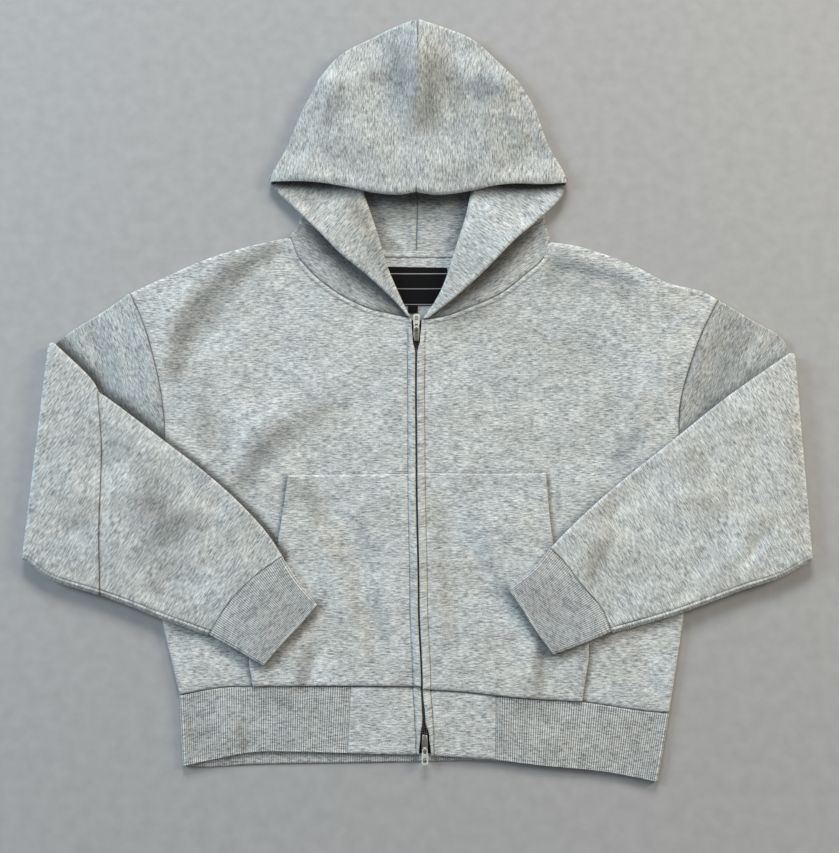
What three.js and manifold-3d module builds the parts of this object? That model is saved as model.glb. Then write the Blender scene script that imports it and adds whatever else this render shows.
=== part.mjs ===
// A zip up hoodie of heavy heather grey knit, laid flat on its back with both sleeves
// folded over the front and the hood's crown folded down over its mouth.
// Sizes are millimetres. X runs along the chest, Y from hem to hood, Z up from the floor.
// Left and right are the garment's sides as it lies: left is -X.
import * as THREE from 'three';
import Module from 'manifold-3d';

const solidKit = await Module();
solidKit.setup();
const { Manifold, Mesh: SolidMesh } = solidKit;

const CLOTH = 2.2;          // thickness of every knitted wall
const SEAM = 0.3;           // free space between two sewn pieces
const FLOOR_Z = CLOTH / 2;  // middle of a wall that rests on the floor
const FRONT_Z = 6.0;        // middle of the front wall, over the back
const LAYER = 3.0;          // middle to middle of two walls lying on each other
const POCKET_LIFT = 2.7;    // middle of the pocket over the middle of the front
const EDGE_R = (FRONT_Z - FLOOR_Z) / 2;   // radius of the fold at a side or shoulder

// Curves and height fields

const mix = (a, b, t) => a + (b - a) * t;
const clamp01 = (t) => Math.min(1, Math.max(0, t));
const smooth = (t) => clamp01(t) ** 2 * (3 - 2 * clamp01(t));
const steps = (from, to, count) => Array.from({ length: count + 1 }, (_, i) => mix(from, to, i / count));

// Smooth plan curve through the rows of a table, measured 0 to 1 along its length.
function curve(rows) {
  const points = rows.map(([x, y]) => new THREE.Vector3(x, y, 0));
  const spline = new THREE.CatmullRomCurve3(points, false, 'centripetal');
  return (t) => spline.getPointAt(clamp01(t));
}

// Two curves end to end, the corner between them at share `at`.
const corner = (first, second, at) => (t) => (t < at ? first(t / at) : second((t - at) / (1 - at)));
const reversed = (line) => (t) => line(1 - t);
const moved = (line, dx, dy) => (t) => line(t).add(new THREE.Vector3(dx, dy, 0));
const stretch = (line, from, to) => (t) => line(mix(from, to, t));
// The same curve as straight runs between `count` even stations, so that the pieces on
// both sides of a seam follow one line.
function chords(line, count) {
  const stations = steps(0, 1, count).map(line);
  return (t) => {
    const i = Math.min(count - 1, Math.floor(clamp01(t) * count + 1e-9));
    return stations[i].clone().lerp(stations[i + 1], clamp01(t) * count - i);
  };
}
// Share of a line at which it reaches this x.
function shareAtX(line, x) {
  let [low, high] = [0, 1];
  const rising = line(1).x > line(0).x;
  for (let i = 0; i < 40; i++) {
    const middle = (low + high) / 2;
    if ((line(middle).x < x) === rising) low = middle; else high = middle;
  }
  return (low + high) / 2;
}

// Value of a named column at a place between the rows of a table sorted by `key`.
function lookup(rows, key, column, at) {
  if (at <= rows[0][key]) return rows[0][column];
  for (let i = 1; i < rows.length; i++) {
    if (at <= rows[i][key]) {
      const share = (at - rows[i - 1][key]) / (rows[i][key] - rows[i - 1][key]);
      return mix(rows[i - 1][column], rows[i][column], smooth(share));
    }
  }
  return rows[rows.length - 1][column];
}

// Plan patch between four curves: u runs along bottom and top, v along left and right.
function patch(bottom, right, top, left) {
  const [p00, p10, p01, p11] = [bottom(0), bottom(1), top(0), top(1)];
  return (u, v) => {
    const [b, t, l, r] = [bottom(u), top(u), left(v), right(v)];
    const at = (k) => mix(b[k], t[k], v) + mix(l[k], r[k], u)
      - mix(mix(p00[k], p10[k], u), mix(p01[k], p11[k], u), v);
    return new THREE.Vector3(at('x'), at('y'), 0);
  };
}

// Soft folds of the front: a ridge (or trough, if lift is negative) from one point to
// another, `width` across, fading at both ends.
const FRONT_FOLDS = [
  { x0: -318, y0: 60, x1: -190, y1: -40, width: 26, lift: 0.8 },
  { x0: -300, y0: -30, x1: -200, y1: -70, width: 20, lift: -0.5 },
  { x0: 335, y0: 62, x1: 215, y1: -30, width: 26, lift: 0.8 },
  { x0: 305, y0: -20, x1: 210, y1: -75, width: 20, lift: -0.5 },
  { x0: 150, y0: 165, x1: 285, y1: 142, width: 16, lift: 0.7 },
  { x0: -150, y0: 150, x1: -270, y1: 120, width: 22, lift: 0.5 },
  { x0: -95, y0: 60, x1: -150, y1: -60, width: 30, lift: 0.4 },
  { x0: 95, y0: 40, x1: 120, y1: -60, width: 30, lift: 0.4 },
  { x0: -225, y0: -290, x1: -215, y1: -400, width: 16, lift: 0.6 },
  { x0: 235, y0: -250, x1: 250, y1: -340, width: 18, lift: 0.7 },
  { x0: -110, y0: -150, x1: -60, y1: -290, width: 24, lift: 0.5 },
  { x0: 110, y0: -160, x1: 150, y1: -290, width: 24, lift: 0.5 },
];
// Folds of the sleeves' upper wall.
const SLEEVE_FOLDS = [
  { x0: -437, y0: 40, x1: -330, y1: -60, width: 22, lift: 1.6 },
  { x0: -455, y0: -140, x1: -395, y1: -155, width: 14, lift: -1.5 },
  { x0: -455, y0: -110, x1: -380, y1: -120, width: 20, lift: 1.4 },
  { x0: -340, y0: -90, x1: -250, y1: -190, width: 26, lift: 1.2 },
  { x0: -300, y0: -75, x1: -230, y1: -130, width: 16, lift: -1.0 },
  { x0: 455, y0: -105, x1: 375, y1: -195, width: 13, lift: -1.8 },
  { x0: 455, y0: -65, x1: 350, y1: -190, width: 20, lift: 1.7 },
  { x0: 430, y0: 20, x1: 330, y1: -70, width: 24, lift: 1.5 },
  { x0: 320, y0: -90, x1: 240, y1: -190, width: 24, lift: 1.2 },
  { x0: 285, y0: -85, x1: 215, y1: -140, width: 15, lift: -1.0 },
];

function folds(rows, x, y) {
  let height = 0;
  for (const f of rows) {
    const [dx, dy] = [f.x1 - f.x0, f.y1 - f.y0];
    const length = Math.hypot(dx, dy);
    const along = ((x - f.x0) * dx + (y - f.y0) * dy) / length ** 2;
    const across = ((x - f.x0) * dy - (y - f.y0) * dx) / length;
    const fade = smooth((along + 0.25) / 0.5) * smooth((1.25 - along) / 0.5);
    height += f.lift * fade * Math.exp(-((across / f.width) ** 2));
  }
  return height;
}

// Folds die out where the sleeve turns over at the elbow.
const elbowFade = (x) => smooth((430 - Math.abs(x)) / 40);
const frontZ = (x, y) => FRONT_Z + clampFold(folds(FRONT_FOLDS, x, y)) * elbowFade(x);
const clampFold = (h) => Math.max(-0.4, Math.min(0.9, h));
// A forearm rises onto the pocket between these two distances from the zip.
const POCKET_RAMP = { from: 242, to: 203 };
const onPocket = (x) => smooth((POCKET_RAMP.from - Math.abs(x)) / (POCKET_RAMP.from - POCKET_RAMP.to));
const forearmZ = (x, y) => frontZ(x, y) + LAYER + POCKET_LIFT * onPocket(x);

// Closed walls

// Wall of cloth round the middle surface `at(u, v)`. `us` and `vs` are the lines of its
// outer side and `innerUs` those of its inside. `ribs` lifts the outer points line by line.
function wall(at, { us, vs, innerUs = us, closed = false, outward = 1, thick = CLOTH, ribs = () => 0 }) {
  const step = 1e-4;
  const normal = (u, v) => {
    const side = (a, b) => at(b, v).sub(at(a, v));
    const run = (a, b) => at(u, b).sub(at(u, a));
    const du = closed ? side(u - step, u + step) : side(Math.max(0, u - step), Math.min(1, u + step));
    const dv = run(Math.max(vs[0], v - step), Math.min(vs[vs.length - 1], v + step));
    return du.cross(dv).normalize().multiplyScalar(outward);
  };
  const points = [];
  const layer = (lines, sign) => vs.map((v) => lines.map((u, i) => {
    const reach = sign * thick / 2 + (sign > 0 ? ribs(i, u, v) : 0);
    points.push(at(u, v).addScaledVector(normal(u, v), reach));
    return points.length - 1;
  }));
  const outer = layer(us, 1);
  const inner = layer(innerUs, -1);
  const faces = [];
  const face = (a, b, c) => faces.push(outward > 0 ? [a, b, c] : [a, c, b]);
  const skin = (grid, turned) => {
    for (let r = 0; r + 1 < grid.length; r++) {
      const count = grid[r].length;
      for (let c = 0; c < (closed ? count : count - 1); c++) {
        const d = (c + 1) % count;
        const [a, b, e, f] = [grid[r][c], grid[r][d], grid[r + 1][d], grid[r + 1][c]];
        if (turned) { face(a, e, b); face(a, f, e); } else { face(a, b, e); face(a, e, f); }
      }
    }
  };
  skin(outer, false);
  skin(inner, true);
  // The rim between an outer and an inner edge that may have unlike numbers of points.
  const rim = (row, turned) => {
    const [far, near] = [outer[row], inner[row]];
    const [farEnd, nearEnd] = closed ? [far.length, near.length] : [far.length - 1, near.length - 1];
    const place = (lines, i) => (i < lines.length ? lines[i] : 1 + lines[0]);
    let [i, j] = [0, 0];
    while (i < farEnd || j < nearEnd) {
      const [f, n] = [far[i % far.length], near[j % near.length]];
      const takeFar = j >= nearEnd || (i < farEnd && place(us, i + 1) <= place(innerUs, j + 1) + 1e-9);
      const next = takeFar ? far[(i + 1) % far.length] : near[(j + 1) % near.length];
      if (turned) face(f, next, n); else face(f, n, next);
      if (takeFar) i++; else j++;
    }
  };
  rim(0, false);
  rim(vs.length - 1, true);
  if (!closed) {
    for (let r = 0; r + 1 < vs.length; r++) {
      const [last, lastIn] = [outer[r].length - 1, inner[r].length - 1];
      const [a, b, c, d] = [outer[r][last], outer[r + 1][last], inner[r + 1][lastIn], inner[r][lastIn]];
      face(a, d, b); face(d, c, b);
      const [e, f, g, h] = [outer[r][0], outer[r + 1][0], inner[r + 1][0], inner[r][0]];
      face(e, f, h); face(h, f, g);
    }
  }
  return { points: points.flatMap((p) => [p.x, p.y, p.z]), faces: faces.flat() };
}

// Solid through rings of the same number of points, its two ends closed flat.
function tower(rings) {
  const count = rings[0].length;
  const faces = [];
  for (let r = 0; r + 1 < rings.length; r++) {
    for (let c = 0; c < count; c++) {
      const d = (c + 1) % count;
      const [a, b, e, f] = [r * count + c, r * count + d, (r + 1) * count + d, (r + 1) * count + c];
      faces.push(a, b, e, a, e, f);
    }
  }
  const top = (rings.length - 1) * count;
  for (let c = 1; c + 1 < count; c++) faces.push(0, c + 1, c, top, top + c, top + c + 1);
  return { points: rings.flat(2), faces };
}

function geometry({ points, faces }) {
  const shape = new THREE.BufferGeometry();
  shape.setAttribute('position', new THREE.Float32BufferAttribute(points, 3));
  shape.setIndex(Array.from(faces));
  return shape;
}

// Joins overlapping walls of one piece of cloth into one solid.
function joined(bodies) {
  const solids = bodies.map(({ points, faces }) => {
    const mesh = new SolidMesh({
      numProp: 3, vertProperties: new Float32Array(points), triVerts: new Uint32Array(faces),
    });
    mesh.merge();
    return new Manifold(mesh);
  });
  const whole = Manifold.union(solids).getMesh();
  return { points: Array.from(whole.vertProperties), faces: Array.from(whole.triVerts) };
}

// Lines across a folded edge, closer together where the wall turns over.
const nearEdge = (radius, width) => [0, 0.134, 0.5].map((d) => d * radius / width);
const withFold = (lines, radius, width) => [
  ...lines.filter((t) => t < 1 - 2 * radius / width), ...nearEdge(radius, width).reverse().map((d) => 1 - d)];
// How far the wall has sunk at distance `d` from a folded edge of this radius.
const sink = (d, radius) => (d >= radius ? 0 : radius - Math.sqrt(Math.max(0, radius ** 2 - (radius - d) ** 2)));

const group = new THREE.Group();
function add(name, body) {
  const mesh = new THREE.Mesh(geometry(body), new THREE.MeshStandardMaterial());
  mesh.name = name;
  group.add(mesh);
}

// Body outline, one row for each point of a seam or edge

const BODY = {
  left: {
    side: -1,
    hemSeam: [[-81, -330.4], [-185, -330.8], [-226, -332.3], [-271, -340.2]],
    sideEdge: [[-271, -340.2], [-283, -298], [-295, -251], [-300, -210], [-298, -165]],
    armhole: [[-298, -165], [-298, -100], [-299.6, -40], [-306, 11], [-318, 60], [-333, 104], [-348.5, 137.5]],
    shoulder: [[-156, 208.5], [-180, 203.4], [-229, 190.6], [-265, 177.8], [-313, 155], [-348.5, 137.5]],
    neck: [[-30, 111], [-61, 119.2], [-96, 137.2], [-127, 161.8], [-147, 186], [-156, 208.5]],
  },
  right: {
    side: 1,
    hemSeam: [[56, -337.2], [112, -343.3], [188, -348], [256, -357.8], [287, -360.6]],
    sideEdge: [[287, -360.6], [298, -305], [308.6, -245], [312, -205], [310, -165]],
    armhole: [[310, -165], [310.5, -100], [311.7, -36], [313.6, -5.6], [320, 22], [333, 60], [344.5, 88], [365.4, 129]],
    shoulder: [[162, 203], [205, 195.2], [266, 171.8], [306, 150.4], [347, 139.6], [365.4, 129]],
    neck: [[36, 109], [63, 119.2], [102, 137.2], [133, 161.8], [155, 182], [162, 203]],
  },
};
const UNDERARM = 0.36;      // share of a front's outer edge that is the side seam
const NECK_SHARE = 0.46;    // share of a front's upper edge that is the neck seam
const STATIONS = { armhole: 6, neck: 6, backNeck: 6, hem: 11, cuff: 6 };

// Line of the zip and the free space from it to each front edge.
const ZIP = [
  { y: -420, x: 9.2, space: 8.4 },
  { y: -406, x: 9.0, space: 6.6 },
  { y: -386, x: 8.8, space: 4.6 },
  { y: -370, x: 7.8, space: 1.8 },
  { y: -335, x: 5.6, space: 1.0 },
  { y: -233, x: 1.9, space: 1.0 },
  { y: -85, x: -0.6, space: 1.0 },
  { y: 30, x: -1.3, space: 1.0 },
  { y: 66, x: -1.0, space: 1.2 },
  { y: 78, x: -0.8, space: 4.4 },
  { y: 98, x: -0.6, space: 4.8 },
  { y: 107, x: -0.5, space: 5.8 },
];
const zipX = (y) => lookup(ZIP, 'y', 'x', y);
const frontEdge = (y, side) => zipX(y) + side * lookup(ZIP, 'y', 'space', y);
const HEM_SEAM_Y = { left: -331, right: -334 };
const NECK_Y = { left: 106, right: 104 };

function edgeLine(side, low, high) {
  return (t) => {
    const y = mix(low, high, t);
    return new THREE.Vector3(frontEdge(y, side), y, 0);
  };
}
const zipCorner = (side, y) => [frontEdge(y, side), y];

// Front panels: heavy knit, from the zip to the side fold, armhole and shoulder.

for (const [name, panel] of Object.entries(BODY)) {
  const foot = zipCorner(panel.side, HEM_SEAM_Y[name]);
  const head = zipCorner(panel.side, NECK_Y[name]);
  const hem = chords(curve([foot, ...panel.hemSeam]), STATIONS.hem);
  const armhole = chords(curve(panel.armhole), STATIONS.armhole);
  const neck = chords(curve([head, ...panel.neck]), STATIONS.neck);
  const outerEdge = corner(curve(panel.sideEdge), armhole, UNDERARM);
  const upper = corner(neck, curve(panel.shoulder), NECK_SHARE);
  const plan = patch(hem, outerEdge, upper, edgeLine(panel.side, foot[1], head[1]));
  const radius = EDGE_R - SEAM / 2;
  Object.assign(panel, { hemLine: hem, armholeLine: armhole, neckLine: neck });
  const at = (u, v) => {
    const p = plan(u, v);
    let drop = v < UNDERARM ? sink(p.distanceTo(plan(1, v)), radius) : 0;
    if (u > NECK_SHARE) drop = Math.max(drop, sink(p.distanceTo(plan(u, 1)), radius));
    p.z = frontZ(p.x, p.y) - drop;
    return p;
  };
  const across = [...steps(0, NECK_SHARE, STATIONS.neck), NECK_SHARE + 0.004, ...steps(NECK_SHARE, 1, 5).slice(1)];
  const us = withFold(across, radius, 300);
  const vs = withFold([...steps(0, UNDERARM, 3), UNDERARM + 0.004, ...steps(UNDERARM, 1, STATIONS.armhole).slice(1)], radius, 420);
  add(`front_${name}`, wall(at, { us, vs, outward: -panel.side > 0 ? -1 : 1 }));
}

// Pockets: one half of the pouch on each front, caught in the zip and hem seams.
// `top` and `low` are the ends of the open edge.

const POCKET = {
  left: { topY: -85, opening: [[-188, -331], [-193, -292], [-179, -233], [-163, -166], [-152, -86.6]] },
  right: { topY: -84, opening: [[188.5, -348], [197, -279], [177, -233], [159, -165], [152, -84.2]] },
};
for (const [name, pocket] of Object.entries(POCKET)) {
  const { side, hemSeam } = BODY[name];
  const foot = zipCorner(side, HEM_SEAM_Y[name]);
  const inside = hemSeam.filter(([x]) => Math.abs(x) < Math.abs(pocket.opening[0][0]) - 5);
  const hem = curve([foot, ...inside, pocket.opening[0]]);
  const topEdge = curve([zipCorner(side, pocket.topY), [side * 76, pocket.topY - 1], pocket.opening[4]]);
  const plan = patch(hem, curve(pocket.opening), topEdge, edgeLine(side, foot[1], pocket.topY));
  const at = (u, v) => {
    const p = plan(u, v);
    p.z = frontZ(p.x, p.y) + POCKET_LIFT;
    return p;
  };
  add(`pocket_${name}`, wall(at, { us: steps(0, 1, 5), vs: steps(0, 1, 7), outward: side > 0 ? 1 : -1 }));
}

// Back panel: one piece, flat on the floor, turned up at the sides and shoulders.

const BACK_NECK = [[-156, 208.5], [-120, 196], [-60, 188.5], [0, 187], [60, 187.5], [120, 193], [162, 203]];
const backNeck = chords(curve(BACK_NECK), STATIONS.backNeck);
{
  const low = curve([[-271, -340.2], [-185, -333], [0, -334], [112, -343.3], [287, -360.6]]);
  const west = corner(curve(BODY.left.sideEdge), BODY.left.armholeLine, UNDERARM);
  const east = corner(curve(BODY.right.sideEdge), BODY.right.armholeLine, UNDERARM);
  const [west2, east2] = [curve(BODY.left.shoulder), curve(BODY.right.shoulder)];
  const [neckFrom, neckTo] = [0.31, 0.69];
  const high = (t) => {
    if (t < neckFrom) return west2(1 - t / neckFrom);
    return t > neckTo ? east2((t - neckTo) / (1 - neckTo)) : backNeck((t - neckFrom) / (neckTo - neckFrom));
  };
  const plan = patch(low, east, high, west);
  const radius = EDGE_R - SEAM / 2;
  const at = (u, v) => {
    const p = plan(u, v);
    let rise = v < UNDERARM ? sink(Math.min(p.distanceTo(plan(0, v)), p.distanceTo(plan(1, v))), radius) : 0;
    if (u < neckFrom || u > neckTo) rise = Math.max(rise, sink(p.distanceTo(plan(u, 1)), radius));
    p.z = FLOOR_Z + rise;
    return p;
  };
  const half = withFold([...steps(0.5, neckTo, 3), neckTo + 0.004, ...steps(neckTo, 1, 3).slice(1)], radius, 600);
  const us = [...half.slice(1).reverse().map((u) => 1 - u), ...half];
  const vs = withFold([...steps(0, UNDERARM, 2), UNDERARM + 0.004, ...steps(UNDERARM, 1, STATIONS.armhole).slice(1)], radius, 440);
  add('back', wall(at, { us, vs, outward: -1 }));
}

// Sleeves: flattened tubes. The upper arm lies beside the body, turns over at the elbow
// line, and the forearm comes back over it and over the front.

const BEND_R = (FRONT_Z + LAYER + 2 * EDGE_R - FLOOR_Z) / 2 - EDGE_R;   // middle of the bend
const BEND_Z = FLOOR_Z + EDGE_R + BEND_R;
const SLEEVE = {
  left: {
    elbow: [[-437, 73], [-453.5, -186]],
    upperTop: [[-348.9, 137.5], [-382, 113], [-418, 89], [-437, 73]],
    upperLow: [[-298.4, -165], [-350, -180], [-410, -187], [-453.5, -186]],
    foreTop: [[-437, 73], [-389, 27], [-381, 13]],
    foreLow: [[-453.5, -186], [-426, -206], [-377, -222], [-367, -225]],
    join: [[-381, 13], [-373.5, -50], [-371.5, -150], [-367, -225]],
    wristTop: [[-380.45, 13], [-350, -9], [-301, -46], [-251, -84], [-211, -119], [-177, -155], [-157, -183.5]],
    wristLow: [[-366.45, -225], [-335, -236], [-294, -252], [-239.5, -271.5]],
    cuffSeam: [[-157, -183.5], [-187.5, -206], [-213.5, -232], [-239.5, -271.5]],
    cuffEnd: [[-116, -239], [-136, -263], [-155, -283], [-175.5, -307]],
    cuffTop: [[-157, -183.8], [-142, -208], [-116, -239]],
    cuffLow: [[-239.5, -271.8], [-206, -289], [-175.5, -307]],
  },
  right: {
    elbow: [[447.3, 60], [454, -187]],
    upperTop: [[365.8, 129], [407, 102.5], [440, 81], [447.3, 60]],
    upperLow: [[310.4, -165], [360, -180], [415, -187], [454, -187]],
    wristTop: [[447.3, 60], [366, 3.3], [308, -42.6], [236, -99.6], [189, -141], [155.5, -174]],
    wristLow: [[454, -187], [423, -204], [377, -219], [337, -233.5], [291, -249.6], [223.5, -268.5]],
    cuffSeam: [[155.5, -174], [171, -190], [193, -219.5], [212, -242], [223.5, -268.5]],
    cuffEnd: [[106, -220.5], [120, -241], [134, -264], [156, -294.5]],
    cuffTop: [[155.5, -174.3], [136, -197], [106, -220.5]],
    cuffLow: [[223.5, -268.8], [195, -280], [156, -294.5]],
  },
};
// Lines round a flattened tube: along its upper side, over the low edge and back.
function roundTube(count, width) {
  const side = withFold(steps(0.5, 1, count / 2), EDGE_R, width);
  const across = [...side.slice(1).reverse().map((c) => 1 - c), ...side];
  return [...across.map((c) => c / 2), ...across.slice(1, -1).reverse().map((c) => 1 - c / 2)];
}
// Where line t of a tube lies: its share across the flat width, and which side it is on.
function onTube(t, plan, v) {
  const turn = ((t % 1) + 1) % 1;
  const share = turn < 0.5 ? 2 * turn : 2 - 2 * turn;
  const p = plan(share, v);
  const d = Math.min(p.distanceTo(plan(0, v)), p.distanceTo(plan(1, v)));
  const open = (EDGE_R - sink(d, EDGE_R)) / EDGE_R;
  return { p, share, side: turn < 0.5 ? open : -open };
}
// Middle surface of the sleeve: v 0 to 1 upper arm, 1 to 2 round the elbow, then forearm.
function sleeveSurface(rows, upper, forearms) {
  const elbow = curve(rows.elbow);
  const sideways = Math.sign(rows.elbow[0][0]);
  return (t, v) => {
    if (v <= 1) {
      const { p, side } = onTube(t, upper, v);
      p.z = mix(FLOOR_Z, frontZ(p.x, p.y), (side + 1) / 2);
      return p;
    }
    if (v <= 2) {
      const { share, side } = onTube(t, (c) => elbow(c), v);
      const p = elbow(share);
      const reach = BEND_R - side * EDGE_R;
      const angle = (v - 1) * Math.PI;
      p.x += sideways * reach * Math.sin(angle);
      p.z = BEND_Z - reach * Math.cos(angle);
      return p;
    }
    const part = Math.min(forearms.length - 1, Math.floor(v - 2));
    const { p, side } = onTube(t, forearms[part], v - 2 - part);
    const lift = folds(SLEEVE_FOLDS, p.x, p.y) * elbowFade(p.x) * (1 - side) / 2;
    p.z = forearmZ(p.x, p.y) + EDGE_R * (1 - side) + Math.max(-0.6, lift);
    return p;
  };
}
const alongPatch = (top, right, low, left) => {
  const plan = patch(reversedPair(left), low, reversedPair(right), top);
  return (c, v) => plan(c, v);
};
const reversedPair = (line) => line;

const BEND_LINES = steps(1, 2, 6);
for (const [name, rows] of Object.entries(SLEEVE)) {
  const armhole = moved(reversed(BODY[name].armholeLine), BODY[name].side * 0.4, 0);
  const elbow = curve(rows.elbow);
  const upper = alongPatch(curve(rows.upperTop), elbow, curve(rows.upperLow), armhole);
  const cuffSeam = chords(curve(rows.cuffSeam), STATIONS.cuff);
  const outward = name === 'left' ? 1 : -1;
  const us = roundTube(6, 250);
  if (rows.join) {
    const join = chords(curve(rows.join), STATIONS.cuff);
    const first = alongPatch(curve(rows.foreTop), join, curve(rows.foreLow), elbow);
    const second = alongPatch(curve(rows.wristTop), cuffSeam, curve(rows.wristLow), moved(join, 0.55, 0));
    const bent = sleeveSurface(rows, upper, [first]);
    add(`sleeve_${name}_upper`, wall(bent, {
      us, vs: [...steps(0, 1, 4).slice(0, -1), ...BEND_LINES, 2.03, 2.5, 3], closed: true, outward,
    }));
    add(`sleeve_${name}_lower`, wall(sleeveSurface(rows, upper, [second]), {
      us, vs: [2.0001, ...steps(2, 3, 7).slice(1)], closed: true, outward,
    }));
  } else {
    const forearm = alongPatch(curve(rows.wristTop), cuffSeam, curve(rows.wristLow), elbow);
    const surface = sleeveSurface(rows, upper, [forearm]);
    add(`sleeve_${name}`, wall(surface, {
      us, vs: [...steps(0, 1, 4).slice(0, -1), ...BEND_LINES, ...steps(2.012, 3, 9)], closed: true, outward,
    }));
  }
}

// Cuffs: ribbed knit tubes sewn to the sleeve ends, the ribs running along the arm.

const CUFF_RIB = { pitch: 2.4, height: 0.45 };
for (const [name, rows] of Object.entries(SLEEVE)) {
  const [seam, end] = [chords(curve(rows.cuffSeam), STATIONS.cuff), curve(rows.cuffEnd)];
  const away = end(0.5).sub(seam(0.5)).normalize().multiplyScalar(SEAM);
  const start = (t) => seam(t).add(away);
  const topEdge = curve([start(0).toArray(), ...rows.cuffTop.slice(1)]);
  const lowEdge = curve([start(1).toArray(), ...rows.cuffLow.slice(1)]);
  const plan = alongPatch(topEdge, end, lowEdge, start);
  const at = (t, v) => {
    const { p, side } = onTube(t, plan, v);
    p.z = forearmZ(p.x, p.y) + EDGE_R * (1 - side);
    return p;
  };
  const width = seam(0).distanceTo(seam(1));
  const ribLines = 2 * Math.round(2 * width / CUFF_RIB.pitch);
  add(`cuff_${name}`, wall(at, {
    us: steps(0, 1, ribLines).slice(0, -1), innerUs: roundTube(8, 110), vs: steps(0, 1, 2), closed: true,
    outward: name === 'left' ? 1 : -1, ribs: (i) => (i % 2 ? CUFF_RIB.height / 2 : -CUFF_RIB.height / 2),
  }));
}

// Hem: a ribbed band from block to block round the sides and back, and a plain block
// of the body cloth on each side of the zip.

const HEM = {
  join: { left: -76.3, right: 91 },
  edge: {
    left: [[-79.7, -404.9], [-144, -403.3], [-184, -403.7], [-223, -410.3], [-264.5, -418.7]],
    right: [[89.5, -412.3], [134.5, -417.9], [214, -425.6], [271, -436]],
  },
  blockEdge: { left: [[-79.7, -404.9], [-40, -406.3]], right: [[89.5, -412.3], [50, -409.8]] },
  backSeam: [[-271, -340.5], [-185, -333.3], [0, -334.3], [112, -343.6], [287, -360.9]],
  backEdge: [[-264.5, -418.7], [-246, -420.5], [-184, -417.4], [-64, -415.5], [3, -414.4], [89, -413.6], [190, -423], [271, -436]],
};
const HEM_RIB = { pitch: 2.65, height: 0.5 };
const RIB_GAP = 0.65;       // free space between the body and the raised ribs of the hem
{
  const fromJoin = (name) => {
    const line = BODY[name].hemLine;
    return moved(stretch(line, shareAtX(line, HEM.join[name]), 1), 0, -RIB_GAP);
  };
  const seam = { left: fromJoin('left'), right: fromJoin('right'), back: curve(HEM.backSeam) };
  const edge = { left: curve(HEM.edge.left), right: curve(HEM.edge.right), back: curve(HEM.backEdge) };
  const turn = 0.014;    // share of the way round that each side fold takes
  const shares = { front: 0.26, back: 1 - 2 * 0.26 - 2 * turn };
  const flat = (part, t, v) => seam[part](t).lerp(edge[part](t), v);
  const foldAt = (part, end, angle, v) => {
    const p = flat(part, end, v);
    p.x += (part === 'left' ? 1 : -1) * EDGE_R * (1 - Math.sin(angle));
    p.z = FLOOR_Z + EDGE_R + (frontZ(p.x, p.y) - FLOOR_Z - EDGE_R) * Math.max(0, Math.cos(angle))
      + EDGE_R * Math.min(0, Math.cos(angle));
    return p;
  };
  const at = (s, v) => {
    const ends = [shares.front, shares.front + turn, 1 - shares.front - turn, 1 - shares.front];
    if (s < ends[0]) {
      const p = flat('left', s / ends[0], v);
      const inset = EDGE_R * (s / ends[0]) ** 8;
      p.x += inset;
      p.z = frontZ(p.x, p.y);
      return p;
    }
    if (s < ends[1]) return foldAt('left', 1, (s - ends[0]) / turn * Math.PI, v);
    if (s < ends[2]) {
      const t = (s - ends[1]) / (ends[2] - ends[1]);
      const p = flat('back', t, v);
      p.x += EDGE_R * ((1 - t) ** 8 - t ** 8);
      p.z = FLOOR_Z;
      return p;
    }
    if (s < ends[3]) return foldAt('right', 1, (ends[3] - s) / turn * Math.PI, v);
    const t = (1 - s) / shares.front;
    const p = flat('right', t, v);
    p.x -= EDGE_R * t ** 8;
    p.z = frontZ(p.x, p.y);
    return p;
  };
  const ribCount = Math.round(196 / HEM_RIB.pitch);
  const frontLines = steps(0, shares.front, 2 * ribCount);
  const turnLines = steps(shares.front, shares.front + turn, 8).slice(1);
  const backHalf = steps(shares.front + turn, 0.5, 5).slice(1);
  const half = [...frontLines, ...turnLines, ...backHalf];
  const us = [...half, ...half.slice(0, -1).reverse().map((s) => 1 - s)];
  const innerHalf = [...steps(0, shares.front, 10), ...turnLines, ...backHalf];
  const innerUs = [...innerHalf, ...innerHalf.slice(0, -1).reverse().map((s) => 1 - s)];
  const ribbed = (s) => Math.min(s, 1 - s) < shares.front + turn * 0.45;
  add('hem_rib', wall(at, {
    us, innerUs, vs: steps(0, 1, 2), outward: 1,
    ribs: (i, s) => (ribbed(s) ? (i % 2 ? HEM_RIB.height / 2 : -HEM_RIB.height / 2) : 0),
  }));
  for (const name of ['left', 'right']) {
    const { side } = BODY[name];
    const seamY = HEM_SEAM_Y[name] - SEAM;
    const line = BODY[name].hemLine;
    const foot = name === 'left' ? -406.5 : -407.5;
    const gap = side * -SEAM;
    const joinLow = HEM.edge[name][0];
    const topLine = moved(stretch(line, 0, shareAtX(line, HEM.join[name] + gap)), 0, -SEAM);
    const lowLine = curve([zipCorner(side, foot), HEM.blockEdge[name][1], [joinLow[0] + gap, joinLow[1]]]);
    const zipLine = edgeLine(side, foot, seamY);
    const joinLine = curve([[joinLow[0] + gap, joinLow[1]], topLine(1).toArray()]);
    const plan = patch(lowLine, joinLine, topLine, zipLine);
    const atBlock = (u, v) => {
      const p = plan(u, v);
      p.z = frontZ(p.x, p.y);
      return p;
    };
    add(`hem_block_${name}`, wall(atBlock, { us: steps(0, 1, 4), vs: steps(0, 1, 5), outward: side > 0 ? 1 : -1 }));
  }
}

// Hood: two halves sewn down the middle. Each half lies on the floor, turns over the
// arch into the crown, and at the neck turns forward into a lapel that is rolled open.

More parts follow.
